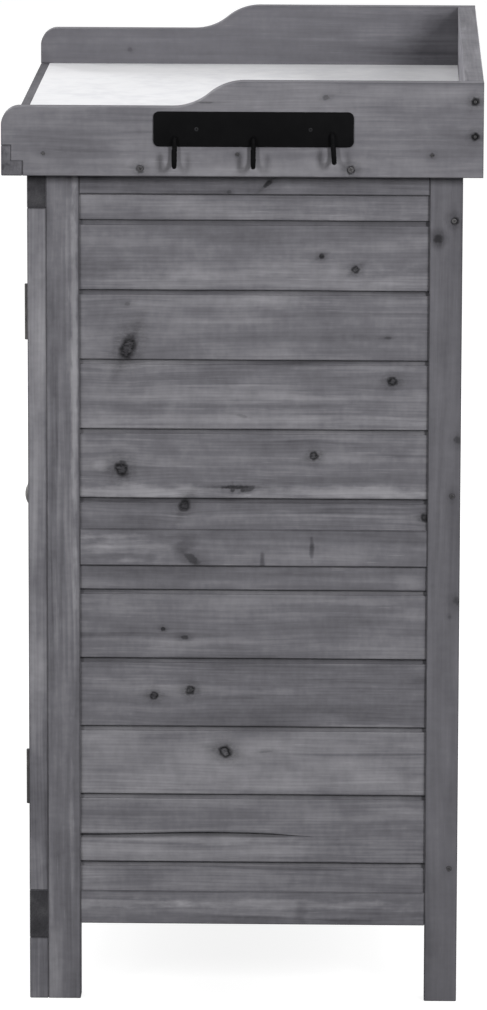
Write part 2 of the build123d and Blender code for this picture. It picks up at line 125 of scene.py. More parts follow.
class Graph:
    """A node tree under construction, with short ways to add and join nodes."""

    OUTPUT_KINDS = {"VALUE": FLOAT, "VECTOR": VECTOR, "GEOMETRY": GEOMETRY}

    def __init__(self, tree: NodeTree) -> None:
        """Wraps an existing tree."""
        self.tree = tree

    @classmethod
    def start(cls, name: str, kind: str, inputs: Dict[str, str]) -> Tuple["Graph", Dict[str, Socket]]:
        """Starts a node group.

        Args:
            name: the group's name.
            kind: Blender's name for the type of tree.
            inputs: socket types by socket name.

        Returns:
            The graph, and the group's inputs by name.
        """
        graph = cls(bpy.data.node_groups.new(name, kind))
        for socket, socket_kind in inputs.items():
            graph.tree.interface.new_socket(name=socket, in_out="INPUT", socket_type=socket_kind)
        entry = graph.node("NodeGroupInput")
        return graph, {socket: entry.outputs[socket] for socket in inputs}

    def close(self, **outputs: Socket) -> NodeTree:
        """Ends a node group.

        Args:
            outputs: what the group puts out, by name.

        Returns:
            The finished tree.
        """
        for name, value in outputs.items():
            kind = self.OUTPUT_KINDS[value.type]
            self.tree.interface.new_socket(name=name, in_out="OUTPUT", socket_type=kind)
        self.node("NodeGroupOutput", outputs)
        return self.tree

    def feed(self, node: Node, inputs: Union[Dict, Sequence]) -> None:
        """Links or sets inputs of a node.

        Args:
            node: the node.
            inputs: what feeds its inputs, in order, or by name or number.
        """
        pairs = inputs.items() if isinstance(inputs, dict) else enumerate(inputs)
        for key, value in pairs:
            if isinstance(value, Socket):
                self.tree.links.new(value, node.inputs[key])
            else:
                node.inputs[key].default_value = value

    def node(self, kind: str, inputs: Union[Dict, Sequence] = (), **settings) -> Node:
        """Adds a node.

        Args:
            kind: Blender's name for the node type.
            inputs: what feeds its inputs, in order, or by name or number.
            settings: properties of the node, set before its inputs.

        Returns:
            The new node.
        """
        made = self.tree.nodes.new(kind)
        for name, value in settings.items():
            setattr(made, name, value)
        self.feed(made, inputs)
        return made

    def out(self, kind: str, inputs: Union[Dict, Sequence] = (), **settings) -> Socket:
        """Adds a node of which only the first output is needed."""
        return self.node(kind, inputs, **settings).outputs[0]

    def group(self, tree: NodeTree, inputs: Dict[str, Feed]) -> bpy.types.bpy_prop_collection:
        """Places a shared group and gives its outputs."""
        return self.node("ShaderNodeGroup", inputs, node_tree=tree).outputs

    def math(self, operation: str, *values: Feed, clamp: bool = False) -> Socket:
        """One step of arithmetic on numbers."""
        return self.out("ShaderNodeMath", values, operation=operation, use_clamp=clamp)

    def vector(self, operation: str, *values: Feed) -> Socket:
        """One step of arithmetic on vectors, whose result is a vector."""
        return self.out("ShaderNodeVectorMath", values, operation=operation)

    def measure(self, operation: str, *values: Feed) -> Socket:
        """One step of arithmetic on vectors, whose result is a number."""
        return self.node("ShaderNodeVectorMath", values, operation=operation).outputs["Value"]

    def times(self, vector: Feed, factor: Feed) -> Socket:
        """A vector made longer or shorter by a number."""
        return self.out("ShaderNodeVectorMath", {0: vector, "Scale": factor}, operation="SCALE")

    def turn(self, vector: Feed, angle: Feed) -> Socket:
        """A vector turned about Z."""
        inputs = {"Vector": vector, "Angle": angle}
        return self.out("ShaderNodeVectorRotate", inputs, rotation_type="Z_AXIS")

    def split(self, vector: Feed) -> List[Socket]:
        """The three parts of a vector."""
        return list(self.node("ShaderNodeSeparateXYZ", [vector]).outputs)

    def join(self, x: Feed, y: Feed, z: Feed) -> Socket:
        """A vector from three numbers."""
        return self.out("ShaderNodeCombineXYZ", (x, y, z))

    def noise_node(self, vector: Feed, scale: Feed, detail: float, rough: float = 0.5) -> Node:
        """A node of soft noise.

        Args:
            vector: the place.
            scale: how fast it changes along each axis.
            detail: how many finer layers there are.
            rough: how strong the finer layers are.

        Returns:
            The node.
        """
        scaled = self.vector("MULTIPLY", vector, scale)
        inputs = {"Vector": scaled, "Scale": 1.0, "Detail": detail, "Roughness": rough}
        return self.node("ShaderNodeTexNoise", inputs)

    def noise(self, vector: Feed, scale: Feed, detail: float, rough: float) -> Socket:
        """Soft noise from 0 to 1."""
        return self.noise_node(vector, scale, detail, rough).outputs[0]

    def noise_vector(self, vector: Feed, scale: Feed, detail: float = 1.0) -> Socket:
        """Soft noise with three parts, each from -0.5 to 0.5."""
        colour = self.noise_node(vector, scale, detail).outputs["Color"]
        return self.vector("SUBTRACT", colour, (0.5, 0.5, 0.5))

    def ease(self, value: Feed, low: Feed, high: Feed, start: Feed = 0.0, end: Feed = 1.0) -> Socket:
        """A smooth step: start below low, end above high."""
        inputs = {"Value": value, "From Min": low, "From Max": high, "To Min": start, "To Max": end}
        return self.out("ShaderNodeMapRange", inputs, interpolation_type="SMOOTHSTEP", clamp=False)

    def ramp(self, value: Feed, stops: Sequence[Tuple[float, Colour]]) -> Socket:
        """A colour picked from a row of stops.

        Args:
            value: what picks it, from 0 to 1.
            stops: places from 0 to 1 and their colours, in order.

        Returns:
            The colour.
        """
        made = self.node("ShaderNodeValToRGB", [value])
        marks = made.color_ramp.elements
        while len(marks) < len(stops):
            marks.new(0.5)
        for mark, (place, colour) in zip(marks, stops):
            mark.position = place
            mark.color = colour
        return made.outputs[0]

    def mix(self, share: Feed, first: Feed, second: Feed, blend: str = "MIX") -> Socket:
        """Two colours mixed, through the inputs and output that the node keeps for colours."""
        inputs = {0: share, 6: first, 7: second}
        return self.node("ShaderNodeMix", inputs, data_type="RGBA", blend_type=blend).outputs[2]

    def bump(self, height: Feed, strength: float, distance: float) -> Socket:
        """A normal tilted by a height."""
        return self.out("ShaderNodeBump", {"Height": height, "Strength": strength, "Distance": distance})


def start_group(
    name: str, vectors: Sequence[str], numbers: Sequence[str] = ()
) -> Tuple[Graph, Dict[str, Socket]]:
    """Starts a shader group that takes vectors and numbers."""
    inputs = {**dict.fromkeys(vectors, VECTOR), **dict.fromkeys(numbers, FLOAT)}
    return Graph.start(name, "ShaderNodeTree", inputs)


@dataclass(frozen=True)
class Layer:
    """Noise: how fast it changes along a piece and across it, how fine and how strong it is."""

    along: float
    across: float
    detail: float = 2.0
    rough: float = 0.5
    share: float = 1.0

    def noise(self, graph: Graph, place: Feed) -> Socket:
        """The noise at a place whose first axis runs along the piece, from 0 to 1."""
        return graph.noise(place, (self.along, self.across, self.across), self.detail, self.rough)


class Effects:
    """Shader node groups that several finishes share, each built once.

    A pace is how fast a noise changes along each axis, and a span is where an effect fades in.
    """

    DRIFT = (3.17, 1.73, 2.39)
    SWAY_PACE = (2.6, 11.0, 11.0)
    SWAY = (0.0, 0.017, 0.017)
    UNEVEN_RINGS = Layer(0.7, 30.0, 1.0, share=1.6)
    RING_LEAN = 1.6
    LATE_POWER = 2.2
    LATE_LEVEL = 0.3
    LATE_SHARE = -0.045
    LATE_RELIEF = 0.3
    FIBRE = Layer(10.0, 330.0, 4.0, 0.68)
    FIBRE_SHARES = (0.1, 0.5)
    FIBRE_RELIEF = 0.8
    LINED = Layer(3.0, 17.0, 1.0)
    LINED_SPAN = (0.38, 0.64)
    STREAK = Layer(5.0, 170.0, 2.0, 0.55, 0.36)
    BAND = Layer(2.6, 42.0, share=0.7)
    BLOTCH = Layer(15.0, 34.0, 4.0, 0.6, 0.62)
    MOTTLE = Layer(150.0, 62.0, 2.0, 0.55, 0.18)
    VEIN = Layer(3.4, 105.0, 1.5, share=-0.2)
    VEIN_SPAN = (0.38, 0.22)
    DASH = Layer(28.0, 640.0, 1.0, share=0.13)
    DASH_SPAN = (0.66, 0.8)
    FINE_PACE = (250.0, 250.0, 250.0)
    COARSE_PACE = (120.0, 120.0, 120.0)
    LEVEL_PACE = (38.0, 120.0, 40.0)
    STREAK_PACE = (260.0, 520.0, 260.0)
    KNOT_FRAY = (0.95, 0.95, 0.0)
    KNOT_REACH = 1.25
    CORE_SPAN = (1.25, 0.45)
    CORE_STREAKS = (0.9, 0.62)
    HEART_SPAN = (0.7, 0.2)
    HALO_SPAN = (2.6, 0.6)
    HALO_SHARE = 0.6
    TAIL_SPAN = (5.0, 1.0)
    TAIL_SHARE = 0.15
    FLOW_FADE = -0.5
    FLOW_ROOM = 0.6
    PATCH_FRAY = 1.6
    PATCH_SPAN = (1.15, 0.25)
    ARRIS = Layer(60.0, 60.0)
    PORES = Layer(300.0, 900.0, 2.0, 0.6)
    ACROSS_SPAN = (0.55, 0.9)
    CRYSTAL_PACE = (62.0, 74.0, 62.0)
    SMEAR = Layer(7.0, 7.0, 3.0, 0.6)
    PEEL = Layer(420.0, 420.0, 1.0)

    def __init__(self) -> None:
        """Builds every group."""
        self.grain = self.make_grain()
        self.ragged = self.make_ragged()
        self.knot = self.make_knot()
        self.patch = self.make_patch()
        self.arris = self.make_arris()
        self.outline = self.make_outline()
        self.end_grain = self.make_end_grain()
        self.scuff = self.make_scuff()

    def make_grain(self) -> NodeTree:
        """Softwood figure along a board's first axis: growth rings, fibres, bands and blotches.

        Returns:
            The group, which puts out a tone about 0.5, the fibres alone and a height.
        """
        graph, given = start_group("board_grain", ("Vector", "Pith"), ("Seed", "Ring Width", "Figure"))
        drift = graph.times(self.DRIFT, given["Seed"])
        place = graph.vector("ADD", given["Vector"], drift)
        sway = graph.noise_vector(place, self.SWAY_PACE, 2.0)
        bent = graph.vector("MULTIPLY_ADD", sway, self.SWAY, place)
        from_pith = graph.vector("SUBTRACT", graph.vector("SUBTRACT", bent, drift), given["Pith"])
        flat = graph.vector("MULTIPLY", from_pith, (0.0, 1.0, 1.0))
        rings = graph.math("DIVIDE", graph.measure("LENGTH", flat), given["Ring Width"])
        uneven = self.UNEVEN_RINGS.noise(graph, place)
        rings = graph.math("MULTIPLY_ADD", uneven, self.UNEVEN_RINGS.share, rings)
        phase = graph.math("POWER", graph.math("FRACT", rings), self.RING_LEAN)
        wave = graph.math("COSINE", graph.math("MULTIPLY", phase, math.tau))
        late = graph.math("POWER", graph.math("MULTIPLY_ADD", wave, -0.5, 0.5), self.LATE_POWER)
        fibre = self.FIBRE.noise(graph, bent)
        lines = graph.ease(self.LINED.noise(graph, place), *self.LINED_SPAN, *self.FIBRE_SHARES)
        figure = graph.math("MULTIPLY", graph.math("SUBTRACT", fibre, 0.5), lines)
        vein = graph.ease(self.VEIN.noise(graph, bent), *self.VEIN_SPAN)
        figure = graph.math("MULTIPLY_ADD", vein, self.VEIN.share, figure)
        layers = ((self.STREAK, bent), (self.BAND, bent), (self.BLOTCH, place), (self.MOTTLE, place))
        for layer, spot in layers:
            change = graph.math("SUBTRACT", layer.noise(graph, spot), 0.5)
            figure = graph.math("MULTIPLY_ADD", change, layer.share, figure)
        change = graph.math("SUBTRACT", late, self.LATE_LEVEL)
        figure = graph.math("MULTIPLY_ADD", change, self.LATE_SHARE, figure)
        dash = graph.ease(self.DASH.noise(graph, place), *self.DASH_SPAN)
        figure = graph.math("MULTIPLY_ADD", dash, self.DASH.share, figure)
        tone = graph.math("MULTIPLY_ADD", figure, given["Figure"], 0.5)
        relief = graph.math("MULTIPLY", fibre, self.FIBRE_RELIEF)
        height = graph.math("MULTIPLY_ADD", late, self.LATE_RELIEF, relief)
        return graph.close(Tone=tone, Fibre=fibre, Height=height)

    def make_ragged(self) -> NodeTree:
        """Unevenness of several sizes, which frays the outlines of knots and patches.

        Returns:
            The group.
        """
        graph, given = start_group("ragged", ("Vector",))
        place = given["Vector"]
        level = graph.noise(place, self.LEVEL_PACE, 3.0, 0.6)
        return graph.close(
            Fine=graph.noise_vector(place, self.FINE_PACE, 2.0),
            Coarse=graph.noise_vector(place, self.COARSE_PACE, 2.0),
            Streak=graph.noise(place, self.STREAK_PACE, 2.0, 0.6),
            Level=graph.math("SUBTRACT", level, 0.5),
        )

    def make_knot(self) -> NodeTree:
        """A dark, uneven knot with a soft halo and tails; the grain flows round it.

        Returns:
            The group, which puts out the bent place and the knot's shade.
        """
        numbers = ("Streak", "Radius", "Stretch", "Turn", "Depth", "Heart")
        graph, given = start_group("knot", ("Vector", "Ragged", "Middle"), numbers)
        radius, streak = given["Radius"], given["Streak"]
        offset = graph.vector("SUBTRACT", given["Vector"], given["Middle"])
        turned = graph.turn(offset, given["Turn"])
        along, across, _ = graph.split(graph.times(turned, graph.math("DIVIDE", 1.0, radius)))
        local = graph.join(graph.math("DIVIDE", along, given["Stretch"]), across, 0.0)
        frayed = graph.vector("MULTIPLY_ADD", given["Ragged"], self.KNOT_FRAY, local)
        share = graph.math("DIVIDE", graph.measure("LENGTH", frayed), self.KNOT_REACH)
        core = graph.ease(share, *self.CORE_SPAN)
        heart = graph.math("MULTIPLY", graph.ease(share, *self.HEART_SPAN), given["Heart"])
        inside = graph.math("MULTIPLY_ADD", streak, *self.CORE_STREAKS)
        inside = graph.math("SUBTRACT", inside, heart)
        inside = graph.math("MINIMUM", inside, 1.0)
        halo = graph.math("MULTIPLY", streak, self.HALO_SHARE)
        halo = graph.math("MULTIPLY", graph.ease(share, *self.HALO_SPAN), halo)
        slim = graph.ease(graph.math("ABSOLUTE", across), 1.0, 0.0)
        tail = graph.math("MULTIPLY", slim, graph.ease(share, *self.TAIL_SPAN))
        around = graph.math("MULTIPLY_ADD", tail, self.TAIL_SHARE, halo)
        shade = graph.math("MAXIMUM", graph.math("MULTIPLY", core, inside), around)
        near = graph.math("EXPONENT", graph.math("MULTIPLY", share, self.FLOW_FADE))
        push = graph.math("MULTIPLY", near, radius)
        _, beside, _ = graph.split(offset)
        room = graph.math("MULTIPLY_ADD", radius, self.FLOW_ROOM, graph.math("ABSOLUTE", beside))
        away = graph.math("MULTIPLY", graph.math("DIVIDE", beside, room), push)
        flow = graph.vector("SUBTRACT", given["Vector"], graph.join(0.0, away, 0.0))
        return graph.close(Vector=flow, Shade=graph.math("MULTIPLY", shade, given["Depth"]))

    def make_patch(self) -> NodeTree:
        """A soft patch of paler or darker wood, drawn out along the grain; on some boards it is
        painted shade or painted light instead.

        Returns:
            The group, which puts out a change of tone.
        """
        graph, given = start_group("patch", ("Vector", "Middle", "Reach"), ("Ragged", "Turn", "Amount"))
        offset = graph.vector("SUBTRACT", given["Vector"], given["Middle"])
        turned = graph.turn(offset, given["Turn"])
        share = graph.measure("LENGTH", graph.vector("DIVIDE", turned, given["Reach"]))
        share = graph.math("MULTIPLY_ADD", given["Ragged"], self.PATCH_FRAY, share)
        return graph.close(Tone=graph.ease(share, *self.PATCH_SPAN, 0.0, given["Amount"]))

    def make_arris(self) -> NodeTree:
        """How near a point of a board's surface is to one of the board's edges.

        Returns:
            The group, which puts out 1 on an edge.
        """
        graph, given = start_group("arris", ("Vector", "Low", "High"), ("Width",))
        over = graph.vector("SUBTRACT", given["Vector"], given["Low"])
        under = graph.vector("SUBTRACT", given["High"], given["Vector"])
        x, y, z = graph.split(graph.vector("MINIMUM", over, under))
        least, most, total = (
            graph.math(kind, graph.math(kind, x, y), z) for kind in ("MINIMUM", "MAXIMUM", "ADD")
        )
        middle = graph.math("SUBTRACT", graph.math("SUBTRACT", total, least), most)
        uneven = self.ARRIS.noise(graph, given["Vector"])
        width = graph.math("MULTIPLY", given["Width"], graph.math("ADD", uneven, 0.5))
        return graph.close(Edge=graph.ease(middle, width, 0.0))

    @staticmethod
    def make_outline() -> NodeTree:
        """How far a point is outside a box seen along X.

        Returns:
            The group, which puts out a distance, negative inside the box.
        """
        graph, given = start_group("outline", ("Vector", "Low", "High"))
        under = graph.vector("SUBTRACT", given["Low"], given["Vector"])
        over = graph.vector("SUBTRACT", given["Vector"], given["High"])
        _, y, z = graph.split(graph.vector("MAXIMUM", under, over))
        return graph.close(Distance=graph.math("MAXIMUM", y, z))

    def make_end_grain(self) -> NodeTree:
        """Where a surface is cut across the grain, and the fine pores that show there.

        Returns:
            The group.
        """
        graph, given = start_group("end_grain", ("Normal", "Axis", "Vector"))
        facing = graph.math("ABSOLUTE", graph.measure("DOT_PRODUCT", given["Normal"], given["Axis"]))
        pores = self.PORES.noise(graph, given["Vector"])
        return graph.close(Mask=graph.ease(facing, *self.ACROSS_SPAN), Pores=pores)

    def make_scuff(self) -> NodeTree:
        """Fine scratches, broad smears, grit and zinc crystals, for metal and paint.

        Returns:
            The group.
        """
        graph, given = start_group("scuff", ("Vector", "Stretch"))
        place = given["Vector"]
        crystals = graph.vector("MULTIPLY", place, self.CRYSTAL_PACE)
        cell = graph.node("ShaderNodeTexVoronoi", {"Vector": crystals, "Scale": 1.0})
        return graph.close(
            Scratch=graph.noise(place, given["Stretch"], 3.0, 0.65),
            Smear=self.SMEAR.noise(graph, place),
            Peel=self.PEEL.noise(graph, place),
            Spangle=graph.split(cell.outputs["Color"])[0],
        )


def new_mesh(name: str, shape: Shape) -> Mesh:
    """Turns a finished bmesh into a mesh, smooth up to a sharp angle, and frees it.

    Args:
        name: the mesh's name.
        shape: the bmesh.

    Returns:
        The mesh.
    """
    bmesh.ops.recalc_face_normals(shape, faces=shape.faces)
    mesh = bpy.data.meshes.new(name)
    shape.to_mesh(mesh)
    shape.free()
    mesh.polygons.foreach_set("use_smooth", [True] * len(mesh.polygons))
    mesh.set_sharp_from_angle(angle=SHARP_ANGLE)
    return mesh


def points_mesh(
    spots: Sequence[Vector], numbers: Dict[str, Sequence], directions: Optional[Dict[str, Sequence]] = None
) -> Mesh:
    """A mesh of loose points that carry numbers and directions.

    Args:
        spots: where the points are.
        numbers: a number for each point, by attribute name.
        directions: a direction for each point, by attribute name.

    Returns:
        The mesh.
    """
    mesh = bpy.data.meshes.new("points")
    mesh.from_pydata([tuple(spot) for spot in spots], [], [])
    for key, values in numbers.items():
        mesh.attributes.new(key, "FLOAT", "POINT").data.foreach_set("value", list(values))
    for key, values in (directions or {}).items():
        flat = [part for direction in values for part in direction]
        mesh.attributes.new(key, "FLOAT_VECTOR", "POINT").data.foreach_set("vector", flat)
    return mesh


def run_tree(tree: NodeTree, data: bpy.types.ID, inputs: Dict[str, object]) -> Mesh:
    """Runs a geometry node tree once and keeps its result as a plain mesh.

    Args:
        tree: the tree.
        data: the mesh or curve that the tree starts from.
        inputs: the tree's other inputs, by name.

    Returns:
        The mesh.
    """
    holder = add_object(tree.name, data)
    modifier = holder.modifiers.new("build", "NODES")
    modifier.node_group = tree
    for item in tree.interface.items_tree:
        if item.in_out == "INPUT" and item.name in inputs:
            modifier[item.identifier] = inputs[item.name]
    depsgraph = bpy.context.evaluated_depsgraph_get()
    solid = holder.evaluated_get(depsgraph)
    made = bpy.data.meshes.new_from_object(solid, preserve_all_data_layers=True, depsgraph=depsgraph)
    bpy.data.objects.remove(holder)
    return made


class Trees:
    """Geometry node trees that make what repeats, each built once."""

    WIRE_SECTIONS = 140
    WIRE_SIDES = 18
    WIRE_TIP = 0.04
    SEED_STEP = 3.1
    WOBBLE_PACE = (9.0, 1.0, 1.0)

    def __init__(self) -> None:
        """Builds every tree."""
        self.rows = self.make_rows()
        self.scatter = self.make_scatter()
        self.wire = self.make_wire()

    @staticmethod
    def repeat(tree: NodeTree, template: Mesh, points: Mesh, **inputs: object) -> Mesh:
        """Runs a tree that puts a template on points.

        Args:
            tree: the tree.
            template: what repeats.
            points: where it goes.
            inputs: the tree's other inputs, by name.

        Returns:
            All copies in one plain mesh.
        """
        model = add_object("template", template)
        made = run_tree(tree, points, {"Template": model, **inputs})
        bpy.data.objects.remove(model)
        return made

    @staticmethod
    def start(name: str, inputs: Dict[str, str]) -> Tuple[Graph, Dict[str, Socket]]:
        """Starts a tree that takes a geometry before its other inputs."""
        return Graph.start(name, "GeometryNodeTree", {"Geometry": GEOMETRY, **inputs})

    @staticmethod
    def end(graph: Graph, geometry: Socket, finish: Socket) -> NodeTree:
        """Makes what is left of instances real, sets the finish and closes the tree."""
        solid = graph.out("GeometryNodeRealizeInstances", {"Geometry": geometry})
        coated = graph.out("GeometryNodeSetMaterial", {"Geometry": solid, "Material": finish})
        return graph.close(Geometry=coated)

    @staticmethod
    def named(graph: Graph, name: str, kind: str = "FLOAT") -> Socket:
        """A number or a direction that the points carry."""
        return graph.out("GeometryNodeInputNamedAttribute", {"Name": name}, data_type=kind)

    @staticmethod
    def on_points(graph: Graph, given: Dict[str, Socket], **more: Socket) -> Socket:
        """The template, once on each point.

        Args:
            graph: the tree's graph.
            given: the tree's inputs.
            more: other inputs of the node that places copies.

        Returns:
            The copies.
        """
        info = graph.node("GeometryNodeObjectInfo", {"Object": given["Template"]})
        inputs = {"Points": given["Geometry"], "Instance": info.outputs["Geometry"], **more}
        return graph.out("GeometryNodeInstanceOnPoints", inputs)

    @classmethod
    def make_rows(cls) -> NodeTree:
        """Boards of one section and any height, one at each point, a little uneven.

        The template's vertices carry "top", 1 at a board's head and 0 at its foot, and "rise", their
        height above that end where the board laps the next one. The points carry both ends' heights.

        Returns:
            The tree.
        """
        inputs = {"Template": OBJECT, "Wobble": FLOAT, "Seed": INTEGER, "Finish": MATERIAL}
        graph, given = cls.start("board_rows", inputs)
        solid = graph.out("GeometryNodeRealizeInstances", {"Geometry": cls.on_points(graph, given)})
        names = ("top", "rise", "low", "high", "laps_below", "laps_above", "board_seed")
        top, rise, low, high, below, above, seed = (cls.named(graph, name) for name in names)
        level = graph.math("MULTIPLY_ADD", graph.math("SUBTRACT", high, low), top, low)
        lap = graph.math("MULTIPLY_ADD", graph.math("SUBTRACT", above, below), top, below)
        level = graph.math("MULTIPLY_ADD", rise, lap, level)
        x, y, _ = graph.split(graph.out("GeometryNodeInputPosition"))
        shift = graph.math("MULTIPLY_ADD", seed, cls.SEED_STEP, given["Seed"])
        wave = graph.noise_vector(graph.join(x, top, shift), cls.WOBBLE_PACE)
        _, in_out, up_down = graph.split(graph.times(wave, given["Wobble"]))
        inward = graph.math("ADD", y, graph.math("ABSOLUTE", in_out))
        spot = graph.join(x, inward, graph.math("ADD", level, up_down))
        moved = graph.out("GeometryNodeSetPosition", {"Geometry": solid, "Position": spot})
        return cls.end(graph, moved, given["Finish"])

    @classmethod
    def make_scatter(cls) -> NodeTree:
        """One template at each point, along the point's direction and turned by chance about it.

        Returns:
            The tree.
        """
        inputs = {"Template": OBJECT, "Seed": INTEGER, "Finish": MATERIAL}
        graph, given = cls.start("screws_on_points", inputs)
        chance = graph.node("FunctionNodeRandomValue", {"Seed": given["Seed"]}, data_type="FLOAT")
        limits = {socket.name: socket for socket in chance.inputs if socket.enabled}
        limits["Min"].default_value = 0.0
        limits["Max"].default_value = math.tau
        angle = next(socket for socket in chance.outputs if socket.enabled)
        facing = cls.named(graph, "facing", "FLOAT_VECTOR")
        aim = {"Rotation": graph.join(0.0, 0.0, angle), "Vector": facing}
        turned = graph.out("FunctionNodeAlignRotationToVector", aim, axis="Z")
        return cls.end(graph, cls.on_points(graph, given, Rotation=turned), given["Finish"])

    @classmethod
    def make_wire(cls) -> NodeTree:
        """A round wire along a path, with a round tip at the path's end.

        Returns:
            The tree.
        """
        graph, given = cls.start("bent_wire", {"Radius": FLOAT, "Finish": MATERIAL})
        radius = given["Radius"]
        steps = {"Curve": given["Geometry"], "Count": cls.WIRE_SECTIONS}
        path = graph.out("GeometryNodeResampleCurve", steps)
        reach = graph.node("GeometryNodeSplineParameter").outputs["Length"]
        whole = graph.node("GeometryNodeSplineLength").outputs["Length"]
        left = graph.math("DIVIDE", graph.math("SUBTRACT", whole, reach), radius, clamp=True)
        gone = graph.math("SUBTRACT", 1.0, left)
        share = graph.math("SQRT", graph.math("SUBTRACT", 1.0, graph.math("MULTIPLY", gone, gone)))
        size = graph.math("MULTIPLY", graph.math("MAXIMUM", share, cls.WIRE_TIP), radius)
        sized = graph.out("GeometryNodeSetCurveRadius", {"Curve": path, "Radius": size})
        circle = {"Resolution": cls.WIRE_SIDES, "Radius": 1.0}
        section = graph.out("GeometryNodeCurvePrimitiveCircle", circle, mode="RADIUS")
        sweep = {"Curve": sized, "Profile Curve": section, "Fill Caps": True}
        sweep["Scale"] = graph.out("GeometryNodeInputRadius")
        return cls.end(graph, graph.out("GeometryNodeCurveToMesh", sweep), given["Finish"])


@dataclass
class Lathe:
    """Turned pieces: a profile of radius and height, spun round an axis."""

    steps: int = 48

    def ring(self, shape: Shape, radius: float, height: float) -> List[Corner]:
        """One turn of a profile's point.

        Args:
            shape: the solid that it is made in.
            radius: how far it is from the axis, in millimetres.
            height: how high it is, in millimetres.

        Returns:
            The corners, or a single one on the axis.
        """
        angles = [math.tau * step / self.steps for step in range(self.steps if radius else 1)]
        turns = [Vector((math.cos(angle), math.sin(angle), 0.0)) for angle in angles]
        return [shape.verts.new(turn * (radius * MM) + Vector((0.0, 0.0, height * MM))) for turn in turns]

    def spin(self, profile: Sequence[Pair]) -> Shape:
        """A turned solid about Z.

        Args:
            profile: radius and height in millimetres, from the bottom's middle to the top's.

        Returns:
            The solid.
        """
        shape = bmesh.new()
        rings = [self.ring(shape, *point) for point in profile]
        for first, second in zip(rings, rings[1:]):
            for step in range(self.steps):
                after = (step + 1) % self.steps
                corners = [first[step % len(first)], first[after % len(first)]]
                corners += [second[after % len(second)], second[step % len(second)]]
                shape.faces.new(list(dict.fromkeys(corners)))
        return shape


@dataclass(frozen=True)
class Knot:
    """A knot on a board: its place along and across the board in the row frame, in millimetres.
    Some stand round screw heads as painted shadow in the screw holes.
    """

    along: float
    across: float
    radius: float
    stretch: float = 1.2
    turn: float = 0.0
    depth: float = 0.75
    heart: float = 0.12


@dataclass(frozen=True)
class Patch:
    """A paler or darker patch: its place and how far it reaches along and across, in millimetres."""

    along: float
    across: float
    length: float
    width: float
    amount: float
    turn: float = 0.0


@dataclass(frozen=True)
class Marks:
    """What tells one board from another, and the shade and light painted onto some boards.

    The tone makes it paler or darker than most, and seams are boxes of a piece let into it, whose
    outline shows as a dark line.
    """

    knots: Sequence[Knot] = ()
    patches: Sequence[Patch] = ()
    tone: float = 0.0
    seams: Sequence[Tuple[Vector, Vector]] = ()

    def between(self, low: float, high: float) -> "Marks":
        """The same marks without the knots and patches outside a strip across the grain.

        Args:
            low, high: the strip's edges, in millimetres.

        Returns:
            The marks of the strip.
        """
        knots = tuple(knot for knot in self.knots if low < knot.across <= high)
        patches = tuple(patch for patch in self.patches if low < patch.across <= high)
        return replace(self, knots=knots, patches=patches)


@dataclass(frozen=True)
class Timber:
    """How a board or a row of boards lies: its corners, and the axes of length, width and thickness."""

    low: Vector
    high: Vector
    axes: Sequence[int]

    @classmethod
    def of_node(cls, node: str) -> "Timber":
        """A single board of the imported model, with its axes from its longest side to its shortest."""
        low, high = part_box(node)
        return cls(low, high, sorted(range(3), key=lambda axis: low[axis] - high[axis]))

    def middle(self) -> List[float]:
        """The middle of its length, width and thickness."""
        centre = (self.low + self.high) / 2
        return [centre[axis] for axis in self.axes]

    def unit(self) -> List[float]:
        """A unit vector along its length."""
        return [1.0 if axis == self.axes[0] else 0.0 for axis in range(3)]

    def chance_knots(self, name: str, spacing: float) -> List[Knot]:
        """A few knots for a board that the photo doesn't show.

        Args:
            name: the board's name, which seeds the draw.
            spacing: usual distance from knot to knot, in millimetres.

        Returns:
            The knots.
        """
        draw = random.Random(f"knots of {name}")
        (start, end), (near, far) = ((self.low[axis], self.high[axis]) for axis in self.axes[:2])
        count = int((end - start) / MM / spacing + draw.random())
        return [
            Knot(
                along=draw.uniform(start, end) / MM,
                across=draw.uniform(near, far) / MM,
                radius=draw.uniform(2.2, 6.0),
                stretch=draw.uniform(1.0, 1.6),
                turn=draw.uniform(-50, 50),
                depth=draw.uniform(0.4, 0.75),
            )
            for _ in range(count)
        ]


def start_material(name: str) -> Tuple[Material, Graph, Node]:
    """A new material, with its graph and its shader.

    Args:
        name: the material's name.

    Returns:
        The material, the graph and the shader node.
    """
    made = bpy.data.materials.new(name)
    made.use_nodes = True
    return made, Graph(made.node_tree), made.node_tree.nodes["Principled BSDF"]


